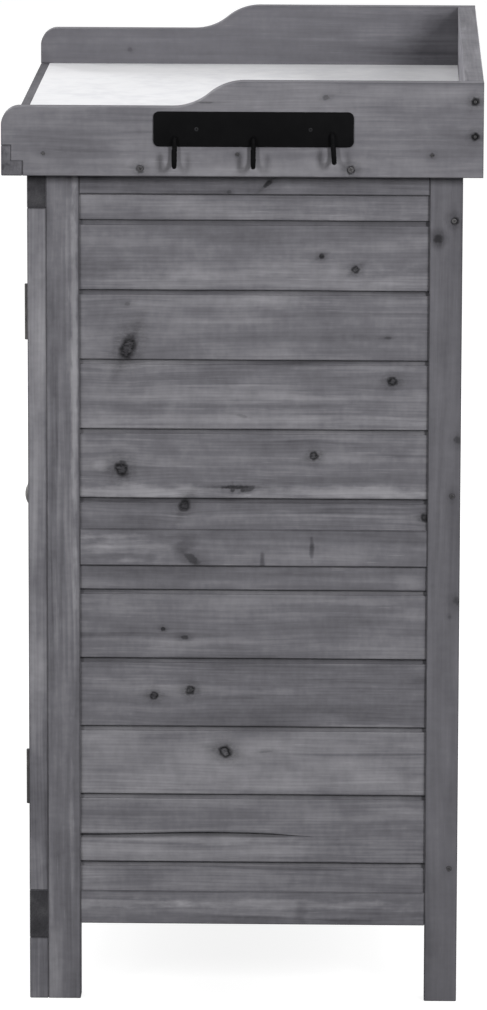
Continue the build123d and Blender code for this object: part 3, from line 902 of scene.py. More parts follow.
@dataclass(frozen=True)
class GreyStain:
    """Grey stain on planed fir, dark in the latewood, in the joints and on end grain. Sizes in metres.
    Board rows also carry painted shade in their gaps, in the split and at their ends.
    """

    dark: Colour = srgb(62, 61, 65)
    middle: Colour = srgb(107, 106, 111)
    pale: Colour = srgb(150, 149, 153)
    end_shade: float = 0.4
    pore_shade: float = 0.24
    # edge_shade also sets how dark the painted shade of board rows is.
    edge_shade: float = 0.55
    edge_width: float = 1.9 * MM
    seam_width: float = 1.1 * MM
    seam_core: float = 0.3
    ring_width: float = 3.4 * MM
    pith_spread: float = 50.0 * MM
    pith_distance: float = 70.0 * MM
    figure: float = 1.0
    seeds: float = 40.0
    coarse_knot: float = 5.0 * MM
    roughness: Pair = (0.62, 0.78)
    specular: float = 0.06
    bump: float = 0.3
    bump_depth: float = 0.35 * MM

    def material(
        self, name: str, effects: Effects, timber: Timber, marks: Marks, rows: bool = False
    ) -> Material:
        """The finish of one board, or of a row of boards in one mesh.

        Args:
            name: the material's name, which also seeds its figure.
            effects: the shared groups.
            timber: how the board lies.
            marks: its knots, patches, tone and seams.
            rows: whether each board of the mesh carries its own tone, seed and edge attributes; the edge
                attribute of rows is painted shade.

        Returns:
            The material.
        """
        draw = random.Random(name)
        made, graph, shader = start_material(name)
        given = graph.node("ShaderNodeTexCoord").outputs
        place = given["Object"]
        parts = graph.split(place)
        board = graph.join(*(parts[axis] for axis in timber.axes))
        _, width, depth = timber.middle()
        seed: Feed = draw.uniform(0.0, self.seeds)
        level: Feed = marks.tone
        if rows:
            seed = graph.math("ADD", self.attribute(graph, "board_seed"), seed)
            level = graph.math("ADD", self.attribute(graph, "board_tone"), level)
            # painted shade that board rows carry in their gaps, split and ends
            edge = self.attribute(graph, "edge")
        else:
            edge = self.edges(graph, effects, place, timber, marks)
        ragged = graph.group(effects.ragged, {"Vector": board})
        flow, shade = self.knots_along(graph, effects, board, ragged, marks.knots, depth)
        side = draw.choice((-1.0, 1.0))
        width += draw.uniform(-self.pith_spread, self.pith_spread)
        pith = (0.0, width, depth + side * self.pith_distance)
        figure = {"Seed": seed, "Ring Width": self.ring_width, "Figure": self.figure}
        grain = graph.group(effects.grain, {"Vector": flow, "Pith": pith, **figure})
        value = graph.math("ADD", grain["Tone"], level)
        for patch in marks.patches:
            inputs = {
                "Vector": board,
                "Ragged": ragged["Level"],
                "Middle": (patch.along * MM, patch.across * MM, depth),
                "Reach": (patch.length * MM, patch.width * MM, 1.0),
                "Turn": -math.radians(patch.turn),
                "Amount": patch.amount,
            }
            value = graph.math("ADD", value, graph.group(effects.patch, inputs)["Tone"])
        colour = graph.ramp(value, ((0.0, self.dark), (0.5, self.middle), (1.0, self.pale)))
        inputs = {"Normal": given["Normal"], "Axis": timber.unit(), "Vector": board}
        ends = graph.group(effects.end_grain, inputs)
        palest = self.end_shade - self.pore_shade / 2
        pores = graph.math("MULTIPLY_ADD", ends["Pores"], self.pore_shade, palest)
        across = graph.math("MULTIPLY", ends["Mask"], graph.math("SUBTRACT", 1.0, pores))
        keep = graph.math("SUBTRACT", 1.0, across)
        for dark, share in ((edge, 1.0 - self.edge_shade), (shade, 1.0)):
            keep = graph.math("MULTIPLY", keep, graph.math("MULTIPLY_ADD", dark, -share, 1.0))
        shades = graph.out("ShaderNodeCombineColor", (keep, keep, keep))
        height = graph.math("SUBTRACT", grain["Height"], shade)
        inputs = {
            "Base Color": graph.mix(1.0, colour, shades, "MULTIPLY"),
            "Roughness": graph.ease(grain["Fibre"], *NOISE_SPAN, *self.roughness),
            "Specular IOR Level": self.specular,
            "Normal": graph.bump(height, self.bump, self.bump_depth),
        }
        graph.feed(shader, inputs)
        return made

    @staticmethod
    def attribute(graph: Graph, name: str) -> Socket:
        """A number that the mesh carries on its points."""
        return graph.node("ShaderNodeAttribute", attribute_name=name).outputs["Fac"]

    def edges(self, graph: Graph, effects: Effects, place: Socket, timber: Timber, marks: Marks) -> Socket:
        """Dark lines along a board's own edges and round pieces let into it.

        Args:
            graph: the material's graph.
            effects: the shared groups.
            place: the place in the row frame.
            timber: the board's corners.
            marks: its seams.

        Returns:
            How dark the lines are.
        """
        inputs = {"Vector": place, "Low": timber.low, "High": timber.high, "Width": self.edge_width}
        edge = graph.group(effects.arris, inputs)["Edge"]
        distance: Feed = 1.0
        for low, high in marks.seams:
            outline = graph.group(effects.outline, {"Vector": place, "Low": low, "High": high})
            distance = graph.math("MINIMUM", distance, outline["Distance"])
        if marks.seams:
            apart = graph.math("ABSOLUTE", distance)
            line = graph.ease(apart, self.seam_width, self.seam_width * self.seam_core)
            edge = graph.math("MAXIMUM", edge, line)
        return edge

    def knots_along(
        self,
        graph: Graph,
        effects: Effects,
        board: Socket,
        ragged: bpy.types.bpy_prop_collection,
        knots: Sequence[Knot],
        depth: float,
    ) -> Tuple[Socket, Feed]:
        """Sends the grain round each knot in turn.

        Args:
            graph: the material's graph.
            effects: the shared groups.
            board: the place on the board.
            ragged: unevenness for the knots' outlines.
            knots: the board's knots.
            depth: the middle of the board's thickness.

        Returns:
            The place with the grain bent round the knots, and how dark the knots are.
        """
        flow, shade = board, 0.0
        for knot in knots:
            inputs = {
                "Vector": flow,
                "Ragged": ragged["Coarse" if knot.radius * MM > self.coarse_knot else "Fine"],
                "Streak": ragged["Streak"],
                "Middle": (knot.along * MM, knot.across * MM, depth),
                "Radius": knot.radius * MM,
                "Stretch": knot.stretch,
                "Turn": -math.radians(knot.turn),
                "Depth": knot.depth,
                "Heart": knot.heart,
            }
            made = graph.group(effects.knot, inputs)
            flow = made["Vector"]
            shade = graph.math("MAXIMUM", shade, made["Shade"])
        return flow, shade


@dataclass(frozen=True)
class Metal:
    """Sheet metal, paint on metal, bare steel or plastic, with scratches and smears."""

    colour: Colour
    worn: Colour
    metallic: float
    roughness: Pair
    specular: float = 0.5
    stretch: Triple = (60.0, 60.0, 60.0)
    bump: float = 0.05
    bump_depth: float = 0.2 * MM
    spangle: float = 0.0
    wear_span: Pair = (0.18, 0.42)
    scratch_dulls: float = 0.4
    smear_dulls: float = 0.6

    def material(self, name: str, effects: Effects) -> Material:
        """The finish as a material.

        Args:
            name: the material's name.
            effects: the shared groups.

        Returns:
            The material.
        """
        made, graph, shader = start_material(name)
        place = graph.node("ShaderNodeTexCoord").outputs["Object"]
        scuff = graph.group(effects.scuff, {"Vector": place, "Stretch": self.stretch})
        scratch, smear = scuff["Scratch"], scuff["Smear"]
        worn = graph.ease(graph.math("MULTIPLY", scratch, smear), *self.wear_span)
        if self.spangle:
            crystal = graph.math("SUBTRACT", scuff["Spangle"], 0.5)
            worn = graph.math("MULTIPLY_ADD", crystal, self.spangle, worn, clamp=True)
        dull = graph.math("MULTIPLY", smear, self.smear_dulls)
        dull = graph.math("MULTIPLY_ADD", scratch, self.scratch_dulls, dull)
        height = graph.math("ADD", scuff["Peel"], scratch)
        inputs = {
            "Base Color": graph.mix(worn, self.colour, self.worn),
            "Roughness": graph.ease(dull, *NOISE_SPAN, *self.roughness),
            "Metallic": self.metallic,
            "Specular IOR Level": self.specular,
            "Normal": graph.bump(height, self.bump, self.bump_depth),
        }
        graph.feed(shader, inputs)
        return made


class Coat(Enum):
    """Finishes of the metal and plastic pieces."""

    GALVANISED_SHEET = Metal(
        srgb(227, 227, 229),
        srgb(217, 217, 220),
        0.12,
        (0.68, 0.8),
        specular=0.0,
        stretch=(30.0, 30.0, 30.0),
        bump=0.02,
        spangle=0.28,
    )
    BLACK_ENAMEL = Metal(srgb(7, 7, 8), srgb(12, 12, 13), 0.0, (0.45, 0.62), specular=0.035, bump=0.1)
    DARK_IRON = Metal(srgb(64, 63, 63), srgb(96, 94, 92), 0.6, (0.4, 0.6), specular=0.3, bump=0.1)
    SCREW_STEEL = Metal(srgb(66, 65, 67), srgb(94, 93, 94), 0.3, (0.45, 0.62), specular=0.2, bump=0.08)
    WORN_ENAMEL = Metal(srgb(27, 27, 29), srgb(52, 52, 54), 0.2, (0.45, 0.62), specular=0.1, bump=0.08)
    CATCH_PLASTIC = Metal(
        srgb(168, 166, 160), srgb(150, 148, 143), 0.0, (0.5, 0.62), specular=0.35, bump=0.06
    )


@dataclass
class Workshop:
    """What every sub-assembly needs: effects, finishes, trees, a lathe and ways to make pieces."""

    effects: Effects = field(default_factory=Effects)
    trees: Trees = field(default_factory=Trees)
    lathe: Lathe = field(default_factory=Lathe)
    stain: GreyStain = field(default_factory=GreyStain)
    knot_spacing: float = 330.0

    def __post_init__(self) -> None:
        """Makes the metal and plastic finishes."""
        self.coats = {coat: coat.value.material(coat.name.lower(), self.effects) for coat in Coat}

    def board(self, node: str, marks: Optional[Marks] = None, **changes: float) -> None:
        """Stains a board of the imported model.

        Args:
            node: the board's node.
            marks: its marks, or None for a few knots of its own.
            changes: sizes and shares of the stain that differ on this board.
        """
        timber = Timber.of_node(node)
        marks = marks or Marks(timber.chance_knots(node, self.knot_spacing))
        stain = replace(self.stain, **changes)
        self.cover(node, stain.material(node, self.effects, timber, marks))

    def coat(self, node: str, coat: Coat) -> None:
        """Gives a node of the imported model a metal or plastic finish."""
        self.cover(node, self.coats[coat])

    @staticmethod
    def cover(node: str, material: Material) -> None:
        """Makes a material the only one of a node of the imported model."""
        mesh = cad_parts[node].data
        mesh.materials.clear()
        mesh.materials.append(material)
        LOG.info("coated %s with %s", node, material.name)

    @staticmethod
    def place(mesh: Mesh, name: str, body: Body, slot: Slot, node: str) -> None:
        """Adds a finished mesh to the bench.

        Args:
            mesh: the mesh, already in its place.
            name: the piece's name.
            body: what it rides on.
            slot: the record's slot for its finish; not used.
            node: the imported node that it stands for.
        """
        mesh.name = name
        piece = add_object(name, mesh)
        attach(piece, body.value)
        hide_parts(node)
        LOG.info("placed %s: %d faces on %s", name, len(mesh.polygons), body.value)


@dataclass
class Crack:
    """A split along a board: where it starts and ends, its height and its waves, in millimetres.

    The profile says how far each of its rows of points is from its line, as a share of its width.
    It is cut into the face's upright edges, told apart by how far they lean and how long they are.
    Its inside is darkened with painted shade.
    """

    start: float
    end: float
    height: float
    width: float = 3.9
    depth: float = 4.4
    wave: float = 1.3
    wave_length: float = 260.0
    wave_phase: float = -1.9
    closing: float = 45.0
    lead: float = 10.0
    hairline: float = 0.15
    most_lean: float = 0.1
    least_edge: float = 30.0
    columns_per_mm: int = 10
    profile: Sequence[float] = (-1.1, -0.5, 0.0, 0.5, 1.1)

    def opening(self, along: float) -> float:
        """How far it is open at a place along the board, from 0 to 1."""
        closing = min(1.0, max(0.0, (self.end - along) / self.closing))
        return closing if along > self.start - self.lead else 0.0

    def line(self, along: float) -> float:
        """The height of its middle line at a place along the board."""
        turn = math.tau * (along - self.start) / self.wave_length + self.wave_phase
        return self.height + self.wave * math.sin(turn)


@dataclass
class SlatPanel:
    """Shiplap boards in the two panels of a frame, with shadow gaps between them.

    Sizes are in millimetres. The boards run along the panel's length; their outer faces look along
    -Y before the panel is turned to its place. The shade in the gaps and at the boards' ends by the
    posts is painted into their colour as well as cast by the lamps.
    """

    node: str
    body: Body
    turn: float
    panels: Sequence[Pair]
    marks: Optional[Marks] = None
    tones: Sequence[float] = ()
    crack: Optional[Crack] = None
    thickness: float = 10.0
    cover: float = 74.8
    gap: float = 5.5
    lap: float = 5.0
    play: float = 0.4
    groove: float = 7.5
    least: float = 0.3
    end_lap: float = 0.05
    corner: float = 0.9
    corner_band: float = 0.7
    foot_fade: float = 7.0
    head_fade: float = 6.0
    wobble: float = 0.5
    # Painted shadow of the posts on the boards' ends: how far in it fades and how dark it is.
    end_shadow_fade: float = 4.2
    end_painted_shadow: float = 0.55
    rebate: float = 3.8
    sections: int = 34
    knot_spacing: float = 420.0
    tone_spread: float = 0.1

    def build(self, shop: Workshop) -> None:
        """Makes the boards and puts them in the node's place.

        Args:
            shop: finishes and tools.
        """
        low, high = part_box(self.node)
        along = 1 if high.y - low.y > high.x - low.x else 0
        timber = Timber(low, high, (along, 2, 1 - along))
        marks = self.marks or Marks(self.own_knots(timber))
        name = f"{self.node}_stain"
        finishes = [
            shop.stain.material(name, shop.effects, timber, marks.between(*span), rows=True)
            for span in self.spans()
        ]
        mesh = shop.trees.repeat(
            shop.trees.rows,
            self.template((high[along] - low[along]) / MM),
            self.points(),
            Wobble=self.wobble * MM,
            Seed=len(self.node),
            Finish=finishes[0],
        )
        outer = {0.0: low.y, 90.0: high.x, -90.0: low.x, 180.0: high.y}[self.turn]
        spot = (low + high) / 2
        spot.z = 0.0
        spot[1 - along] = outer
        mesh.transform(Matrix.Translation(spot) @ Matrix.Rotation(math.radians(self.turn), 4, "Z"))
        self.tidy(mesh)
        self.share_out(mesh, finishes)
        shop.place(mesh, self.node.replace("slats", "boards"), self.body, Slot.WOOD, self.node)

    def spans(self) -> List[Pair]:
        """The heights that each panel's finish covers, which meet behind the rails between panels."""
        edges = [(below[1] + above[0]) / 2 for below, above in zip(self.panels, self.panels[1:])]
        return list(zip([-math.inf, *edges], [*edges, math.inf]))

    def share_out(self, mesh: Mesh, finishes: Sequence[Material]) -> None:
        """Gives each panel's boards their own finish, which keeps every shader small.

        Args:
            mesh: the boards, in their place.
            finishes: one for each panel.
        """
        mesh.materials.clear()
        for finish in finishes:
            mesh.materials.append(finish)
        spans = self.spans()
        for face in mesh.polygons:
            height = face.center.z / MM
            face.material_index = [low < height <= high for low, high in spans].index(True)

    def own_knots(self, timber: Timber) -> List[Knot]:
        """Knots for boards that the photo doesn't show, a few in each row.

        Args:
            timber: how the whole panel lies.

        Returns:
            The knots.
        """
        knots = []
        for row, (low, high) in enumerate(self.rows()):
            strip = replace(timber, low=timber.low.copy(), high=timber.high.copy())
            strip.low.z, strip.high.z = low * MM, high * MM
            knots += strip.chance_knots(f"{self.node} row {row}", self.knot_spacing)
        return knots

    def rows(self) -> List[Pair]:
        """The heights between which each board lies.

        Returns:
            Lower and upper heights, from the lowest board up.
        """
        rows = []
        for low, high in self.panels:
            middle = (low + high) / 2
            count = math.ceil((high - low) / 2 / self.cover - self.least)
            joints = [middle + row * self.cover for row in range(1 - count, count)]
            joints = [low - self.groove, *joints, high + self.groove]
            rows += list(zip(joints, joints[1:]))
        return rows

    def points(self) -> Mesh:
        """A point for each board, with its heights, laps, tone and seed.

        Returns:
            The points.
        """
        rows = self.rows()
        draw = random.Random(self.node)
        feet = [low - self.groove for low, _ in self.panels]
        heads = [high + self.groove for _, high in self.panels]
        spread = self.tone_spread
        tones = list(self.tones) or [draw.uniform(-spread, spread) for _ in rows]
        numbers = {
            "low": [low * MM for low, _ in rows],
            "high": [high * MM for _, high in rows],
            "laps_below": [self.end_lap if low in feet else 1.0 for low, _ in rows],
            "laps_above": [self.end_lap if high in heads else 1.0 for _, high in rows],
            "board_tone": tones,
            "board_seed": [draw.uniform(0.0, BOARD_SEEDS) for _ in rows],
        }
        return points_mesh([Vector((0, 0, 0))] * len(rows), numbers)

    def section(self) -> List[Tuple[float, float, float, float]]:
        """The board's section, from its face round its foot, back and head.

        Returns:
            For each corner its depth, its rise above the board's foot or head, which of the two that
            is, 0 or 1, and how much painted shade it carries, darkest in the gap between boards.
        """
        foot, half, back = self.gap / 2, self.rebate, self.thickness
        above, below = foot + self.lap + self.play / 2, foot + self.lap - self.play / 2
        turn = [math.radians(angle) for angle in (0, 30, 60, 90)]
        shoulder = [(self.corner * (1 - math.cos(a)), self.corner * (1 - math.sin(a))) for a in turn]
        beside = foot + self.corner + self.corner_band
        # The last column is painted shade: dark on the recessed lap inside the gap, fading over a few
        # millimetres of the faces beside it.
        return [
            (0.0, foot + self.foot_fade, 0.0, 0.0),
            (0.0, beside, 0.0, 0.12),
            *((depth, foot + rise, 0.0, 0.25) for depth, rise in shoulder),
            (half, foot, 0.0, 0.6),
            (half, above, 0.0, 0.5),
            (back, above, 0.0, 0.0),
            (back, below, 1.0, 0.0),
            (half, below, 1.0, 0.95),
            (half, foot, 1.0, 0.95),
            (half, 0.0, 1.0, 0.7),
            (half, -foot, 1.0, 0.2),
            *((depth, -foot - rise, 1.0, 0.16) for depth, rise in reversed(shoulder)),
            (0.0, -beside, 1.0, 0.2),
            (0.0, -foot - self.head_fade, 1.0, 0.0),
        ]

    def template(self, length: float) -> Mesh:
        """A board of unit height with its section swept along X.

        Args:
            length: the board's length.

        Returns:
            The board.
        """
        shape = bmesh.new()
        # The "edge" layer carries painted shade: in the gaps between boards and, near the posts, at their
        # ends.
        tops, rises, edges = (shape.verts.layers.float.new(key) for key in ("top", "rise", "edge"))
        section = self.section()
        half, inner = length / 2, length / 2 - self.groove - self.end_shadow_fade
        clear = [inner * (2 * step / self.sections - 1) for step in range(self.sections + 1)]
        rings = []
        for x in (-half, self.groove - half, *clear, half - self.groove, half):
            # painted shadow of the posts near the boards' ends
            dark = self.end_painted_shadow if abs(x) > inner + self.end_shadow_fade / 2 else 0.0
            rings.append([])
            for depth, rise, top, edge in section:
                vert = shape.verts.new((x * MM, depth * MM, top))
                vert[tops], vert[rises], vert[edges] = top, rise * MM, max(edge, dark)
                rings[-1].append(vert)
        for first, second in zip(rings, rings[1:]):
            for index in range(len(section)):
                after = (index + 1) % len(section)
                shape.faces.new((first[index], first[after], second[after], second[index]))
        shape.faces.new(rings[0])
        shape.faces.new(reversed(rings[-1]))
        return new_mesh("slat", shape)

    def tidy(self, mesh: Mesh) -> None:
        """Turns faces outwards and opens the crack.

        Args:
            mesh: the boards, in their place.
        """
        shape = bmesh.new()
        shape.from_mesh(mesh)
        if self.crack:
            self.open_crack(shape, self.crack)
        bmesh.ops.recalc_face_normals(shape, faces=shape.faces)
        shape.to_mesh(mesh)
        shape.free()
        mesh.set_sharp_from_angle(angle=SHARP_ANGLE)

    def open_crack(self, shape: Shape, crack: Crack) -> None:
        """Splits one board's outer face along a wavy line that closes towards its end, and paints
        shade into the split.

        Args:
            shape: the boards of an end panel that looks along +X.
            crack: the split.
        """
        tall = [
            edge
            for edge in shape.edges
            if min(v.co.z for v in edge.verts) < crack.height * MM < max(v.co.z for v in edge.verts)
            and abs(edge.verts[0].co.y - edge.verts[1].co.y) < crack.most_lean * MM
            and edge.calc_length() > crack.least_edge * MM
        ]
        front = max(edge.verts[0].co.x for edge in tall)
        tall = [edge for edge in tall if edge.verts[0].co.x > front - self.thickness / 2 * MM]
        cut = bmesh.ops.subdivide_edges(shape, edges=tall, cuts=len(crack.profile), use_grid_fill=True)
        columns: Dict[int, List[Corner]] = {}
        for vert in (item for item in cut["geom_inner"] if isinstance(item, Corner)):
            columns.setdefault(round(vert.co.y / MM * crack.columns_per_mm), []).append(vert)
        edges = shape.verts.layers.float.get("edge")
        for column in columns.values():
            column.sort(key=lambda vert: vert.co.z)
            along = column[0].co.y / MM
            share, line = crack.opening(along), crack.line(along)
            for vert, step in zip(column, crack.profile):
                vert.co.z = (line + step * crack.width * max(share, crack.hairline)) * MM
                # painted shade inside the split, as dark as the split is open
                vert[edges] = share if abs(step) < 1.0 else 0.0
                if step == 0.0:
                    vert.co.x -= crack.depth * share * MM


@dataclass
class BoardRow:
    """Loose boards side by side: the cupboard's floor, its shelf, or the deck under the sheet.

    Sizes are in millimetres.
    """

    node: str
    count: int
    corner: float = 1.2
    corner_steps: int = 3
    blank: float = 100.0
    gap: float = 4.0
    knot_spacing: float = 110.0
    tone_spread: float = 0.08

    def build(self, shop: Workshop) -> None:
        """Makes the boards between the node's front and back.

        Args:
            shop: finishes and tools.
        """
        low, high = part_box(self.node)
        timber = Timber(low, high, (0, 1, 2))
        marks = Marks(timber.chance_knots(self.node, self.knot_spacing))
        finish = shop.stain.material(f"{self.node}_stain", shop.effects, timber, marks, rows=True)
        pitch = (high.y - low.y + self.gap * MM) / self.count
        draw = random.Random(self.node)
        spread = self.tone_spread
        spots = [Vector((0.0, low.y + row * pitch, 0.0)) for row in range(self.count)]
        numbers = {
            "low": [low.z] * self.count,
            "high": [high.z] * self.count,
            "laps_below": [1.0] * self.count,
            "laps_above": [1.0] * self.count,
            "board_tone": [draw.uniform(-spread, spread) for _ in spots],
            "board_seed": [draw.uniform(0.0, BOARD_SEEDS) for _ in spots],
        }
        mesh = shop.trees.repeat(
            shop.trees.rows,
            self.template(high.x - low.x, pitch - self.gap * MM),
            points_mesh(spots, numbers),
            Wobble=0.0,
            Seed=self.count,
            Finish=finish,
        )
        mesh.transform(Matrix.Translation(((low.x + high.x) / 2, 0.0, 0.0)))
        mesh.set_sharp_from_angle(angle=SHARP_ANGLE)
        shop.place(mesh, self.node.replace("boards", "planks"), Body.CABINET, Slot.WOOD, self.node)

    def template(self, length: float, width: float) -> Mesh:
        """One board with round arrises, cut from a thick blank, as the points set its thickness.

        Args:
            length, width: its sizes in metres.

        Returns:
            The board.
        """
        half = self.blank / 2 * MM
        shape = bmesh.new()
        bmesh.ops.create_cube(shape, size=1.0)
        bmesh.ops.scale(shape, vec=(length, width, 2 * half), verts=shape.verts)
        bmesh.ops.translate(shape, vec=(0.0, width / 2, 0.0), verts=shape.verts)
        round_off = {"offset": self.corner * MM, "segments": self.corner_steps, "profile": 0.5}
        bmesh.ops.bevel(shape, geom=shape.edges[:], affect="EDGES", **round_off)
        tops, rises, edges = (shape.verts.layers.float.new(key) for key in ("top", "rise", "edge"))
        for vert in shape.verts:
            above = vert.co.z > 0
            vert[tops] = 1.0 if above else 0.0
            vert[rises] = vert.co.z - half if above else vert.co.z + half
            vert[edges] = 0.0
        return new_mesh("loose_board", shape)


@dataclass
class EndFrame:
    """One end of the cupboard: two posts and three rails."""

    side: str
    marks: Dict[str, Marks] = field(default_factory=dict)
    rear_figure: float = 0.6

    def dress(self, shop: Workshop) -> None:
        """Stains the posts and rails.

        Args:
            shop: finishes and tools.
        """
        for part in ("front_post", "top_rail", "mid_rail", "bottom_rail"):
            shop.board(f"{self.side}_{part}", self.marks.get(part))
        shop.board(f"{self.side}_rear_post", self.marks.get("rear_post"), figure=self.rear_figure)


@dataclass
class BackPanel:
    """The back's stiles and rails."""

    parts: Sequence[str] = ("right_stile", "left_stile", "top_rail", "mid_rail", "bottom_rail")

    def dress(self, shop: Workshop) -> None:
        """Stains each member."""
        for part in self.parts:
            shop.board(f"back_{part}")


@dataclass
class FaceFrame:
    """The frame round the doors: rails, stiles and feet."""

    marks: Dict[str, Marks] = field(default_factory=dict)
    parts: Sequence[str] = ("top_rail", "bottom_rail", "right_stile", "left_stile", "right_foot", "left_foot")
    end_shade: float = 0.3

    def dress(self, shop: Workshop) -> None:
        """Stains each member."""
        for part in self.parts:
            shop.board(f"front_{part}", self.marks.get(part), end_shade=self.end_shade)


@dataclass
class Door:
    """One door: framed boards, a turned knob, hinge leaves and a strike plate. Sizes in millimetres."""

    side: str
    knob_radius: float = 15.0
    knob_reach: float = 23.5
    knob_rim: float = 13.0
    rim_ease: float = 0.6
    rim_band: float = 0.4
    collar_radius: float = 8.0
    collar_height: float = 2.5
    collar_ease: float = 0.5
    neck_radius: float = 6.0
    neck_foot: float = 0.8
    neck_steps: int = 9
    flare_start: float = 0.35
    flare_power: float = 1.7
    dome_steps: int = 10

    @property
    def body(self) -> Body:
        """The body that the door's pieces ride on."""
        return Body.RIGHT_DOOR if self.side == "right" else Body.LEFT_DOOR

    def dress(self, shop: Workshop) -> None:
        """Stains the frame and coats the small metal pieces.

        Args:
            shop: finishes and tools.
        """
        for part in ("lock_stile", "hinge_stile", "top_rail", "mid_rail", "bottom_rail"):
            shop.board(f"{self.side}_door_{part}")
        shop.coat(f"{self.side}_door_hinge_leaves", Coat.DARK_IRON)
        shop.coat(f"{self.side}_door_strike", Coat.SCREW_STEEL)

    def build_knob(self, shop: Workshop) -> None:
        """Turns the knob and puts it on the lock stile.

        Args:
            shop: finishes and tools.
        """
        node = f"{self.side}_door_knob"
        low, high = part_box(node)
        mesh = new_mesh(node, shop.lathe.spin(self.profile()))
        mesh.materials.append(shop.coats[Coat.DARK_IRON])
        middle = (low + high) / 2
        foot = Matrix.Translation((middle.x, high.y, middle.z))
        mesh.transform(foot @ Matrix.Rotation(math.radians(90), 4, "X"))
        shop.place(mesh, f"{self.side}_turned_knob", self.body, Slot.DARK, node)

    def profile(self) -> List[Pair]:
        """The knob's outline.

        Returns:
            Radius and height, from its foot to the top of its dome.
        """
        collar, height = self.collar_radius, self.collar_height
        foot = [(0.0, 0.0), (collar, 0.0), (collar, height - self.collar_ease)]
        foot += [(collar - self.collar_ease, height)]
        neck = []
        flare = self.knob_radius - self.rim_ease - self.neck_radius
        for step in range(1, self.neck_steps):
            share = step / self.neck_steps
            flared = max(0.0, (share - self.flare_start) / (1 - self.flare_start)) ** self.flare_power
            neck.append((self.neck_radius + flare * flared, height + (self.knob_rim - height) * share))
        neck[0] = (self.neck_radius + self.neck_foot, neck[0][1])
        dome = []
        rim = self.knob_rim + self.rim_band
        for step in range(self.dome_steps):
            angle = math.radians(90) * step / self.dome_steps
            rise = (self.knob_reach - rim) * math.sin(angle)
            dome.append((self.knob_radius * math.cos(angle), rim + rise))
        return [*foot, *neck, *dome, (0.0, self.knob_reach)]


@dataclass
class Tray:
    """The tray on top: two stepped end boards, back board, front rail and metal sheet.

    Sizes are in millimetres. The sheet's waves are how fast they run along it and across it, and
    their start.
    """

    near_marks: Marks
    far_marks: Marks
    lip: float = 10.0
    rebate: float = 16.8
    sheet_columns: int = 72
    sheet_rows: int = 48
    ripple: float = 0.16
    rim_power: int = 8
    waves: Sequence[Triple] = ((11.3, 2.1, 0.7), (-3.7, 7.1, 0.0))

    def dress(self, shop: Workshop) -> None:
        """Stains the boards; the end boards' marks hold painted shade and shadow.

        Args:
            shop: finishes and tools.
        """
        seams = self.rail_outline()
        near, far = (replace(marks, seams=seams) for marks in (self.near_marks, self.far_marks))
        shop.board("tray_right_end", near, figure=0.75, edge_shade=0.7)
        shop.board("tray_left_end", far, figure=0.55, edge_shade=0.8)
        shop.board("tray_back_board", Marks(tone=-0.02), edge_shade=0.95)
        shop.board("tray_front_rail", Marks(tone=-0.16), end_shade=0.95)

    def rail_outline(self) -> List[Tuple[Vector, Vector]]:
        """The front rail's section, which is let into both end boards.

        Returns:
            The corners of the two boxes that make it.
        """
        low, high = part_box("tray_front_rail")
        lip, ledge = high.copy(), high.copy()
        lip.y = low.y + self.lip * MM
        ledge.z = high.z - self.rebate * MM
        return [(low, lip), (low, ledge)]

    def build_sheet(self, shop: Workshop) -> None:
        """Lays the metal sheet, which lies a little uneven on its deck.

        Args:
            shop: finishes and tools.
        """
        low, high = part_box("metal_top")
        size = high - low
        shape = bmesh.new()
        bmesh.ops.create_grid(shape, x_segments=self.sheet_columns, y_segments=self.sheet_rows, size=0.5)
        for vert in shape.verts:
            x, y, _ = vert.co
            fade = max(0.0, 1 - (2 * max(abs(x), abs(y))) ** self.rim_power)
            dip = 0.5 + 0.25 * sum(math.sin(a * x + b * y + start) for a, b, start in self.waves)
            level = high.z - self.ripple * MM * dip * fade
            vert.co = (low.x + (x + 0.5) * size.x, low.y + (y + 0.5) * size.y, level)
        rim = [edge for edge in shape.edges if edge.is_boundary]
        skirt = bmesh.ops.extrude_edge_only(shape, edges=rim)["geom"]
        for vert in (item for item in skirt if isinstance(item, Corner)):
            vert.co.z = low.z
        bmesh.ops.holes_fill(shape, edges=[edge for edge in shape.edges if edge.is_boundary])
        mesh = new_mesh("metal_top", shape)
        mesh.materials.append(shop.coats[Coat.GALVANISED_SHEET])
        shop.place(mesh, "tray_sheet", Body.CABINET, Slot.SHEET, "metal_top")


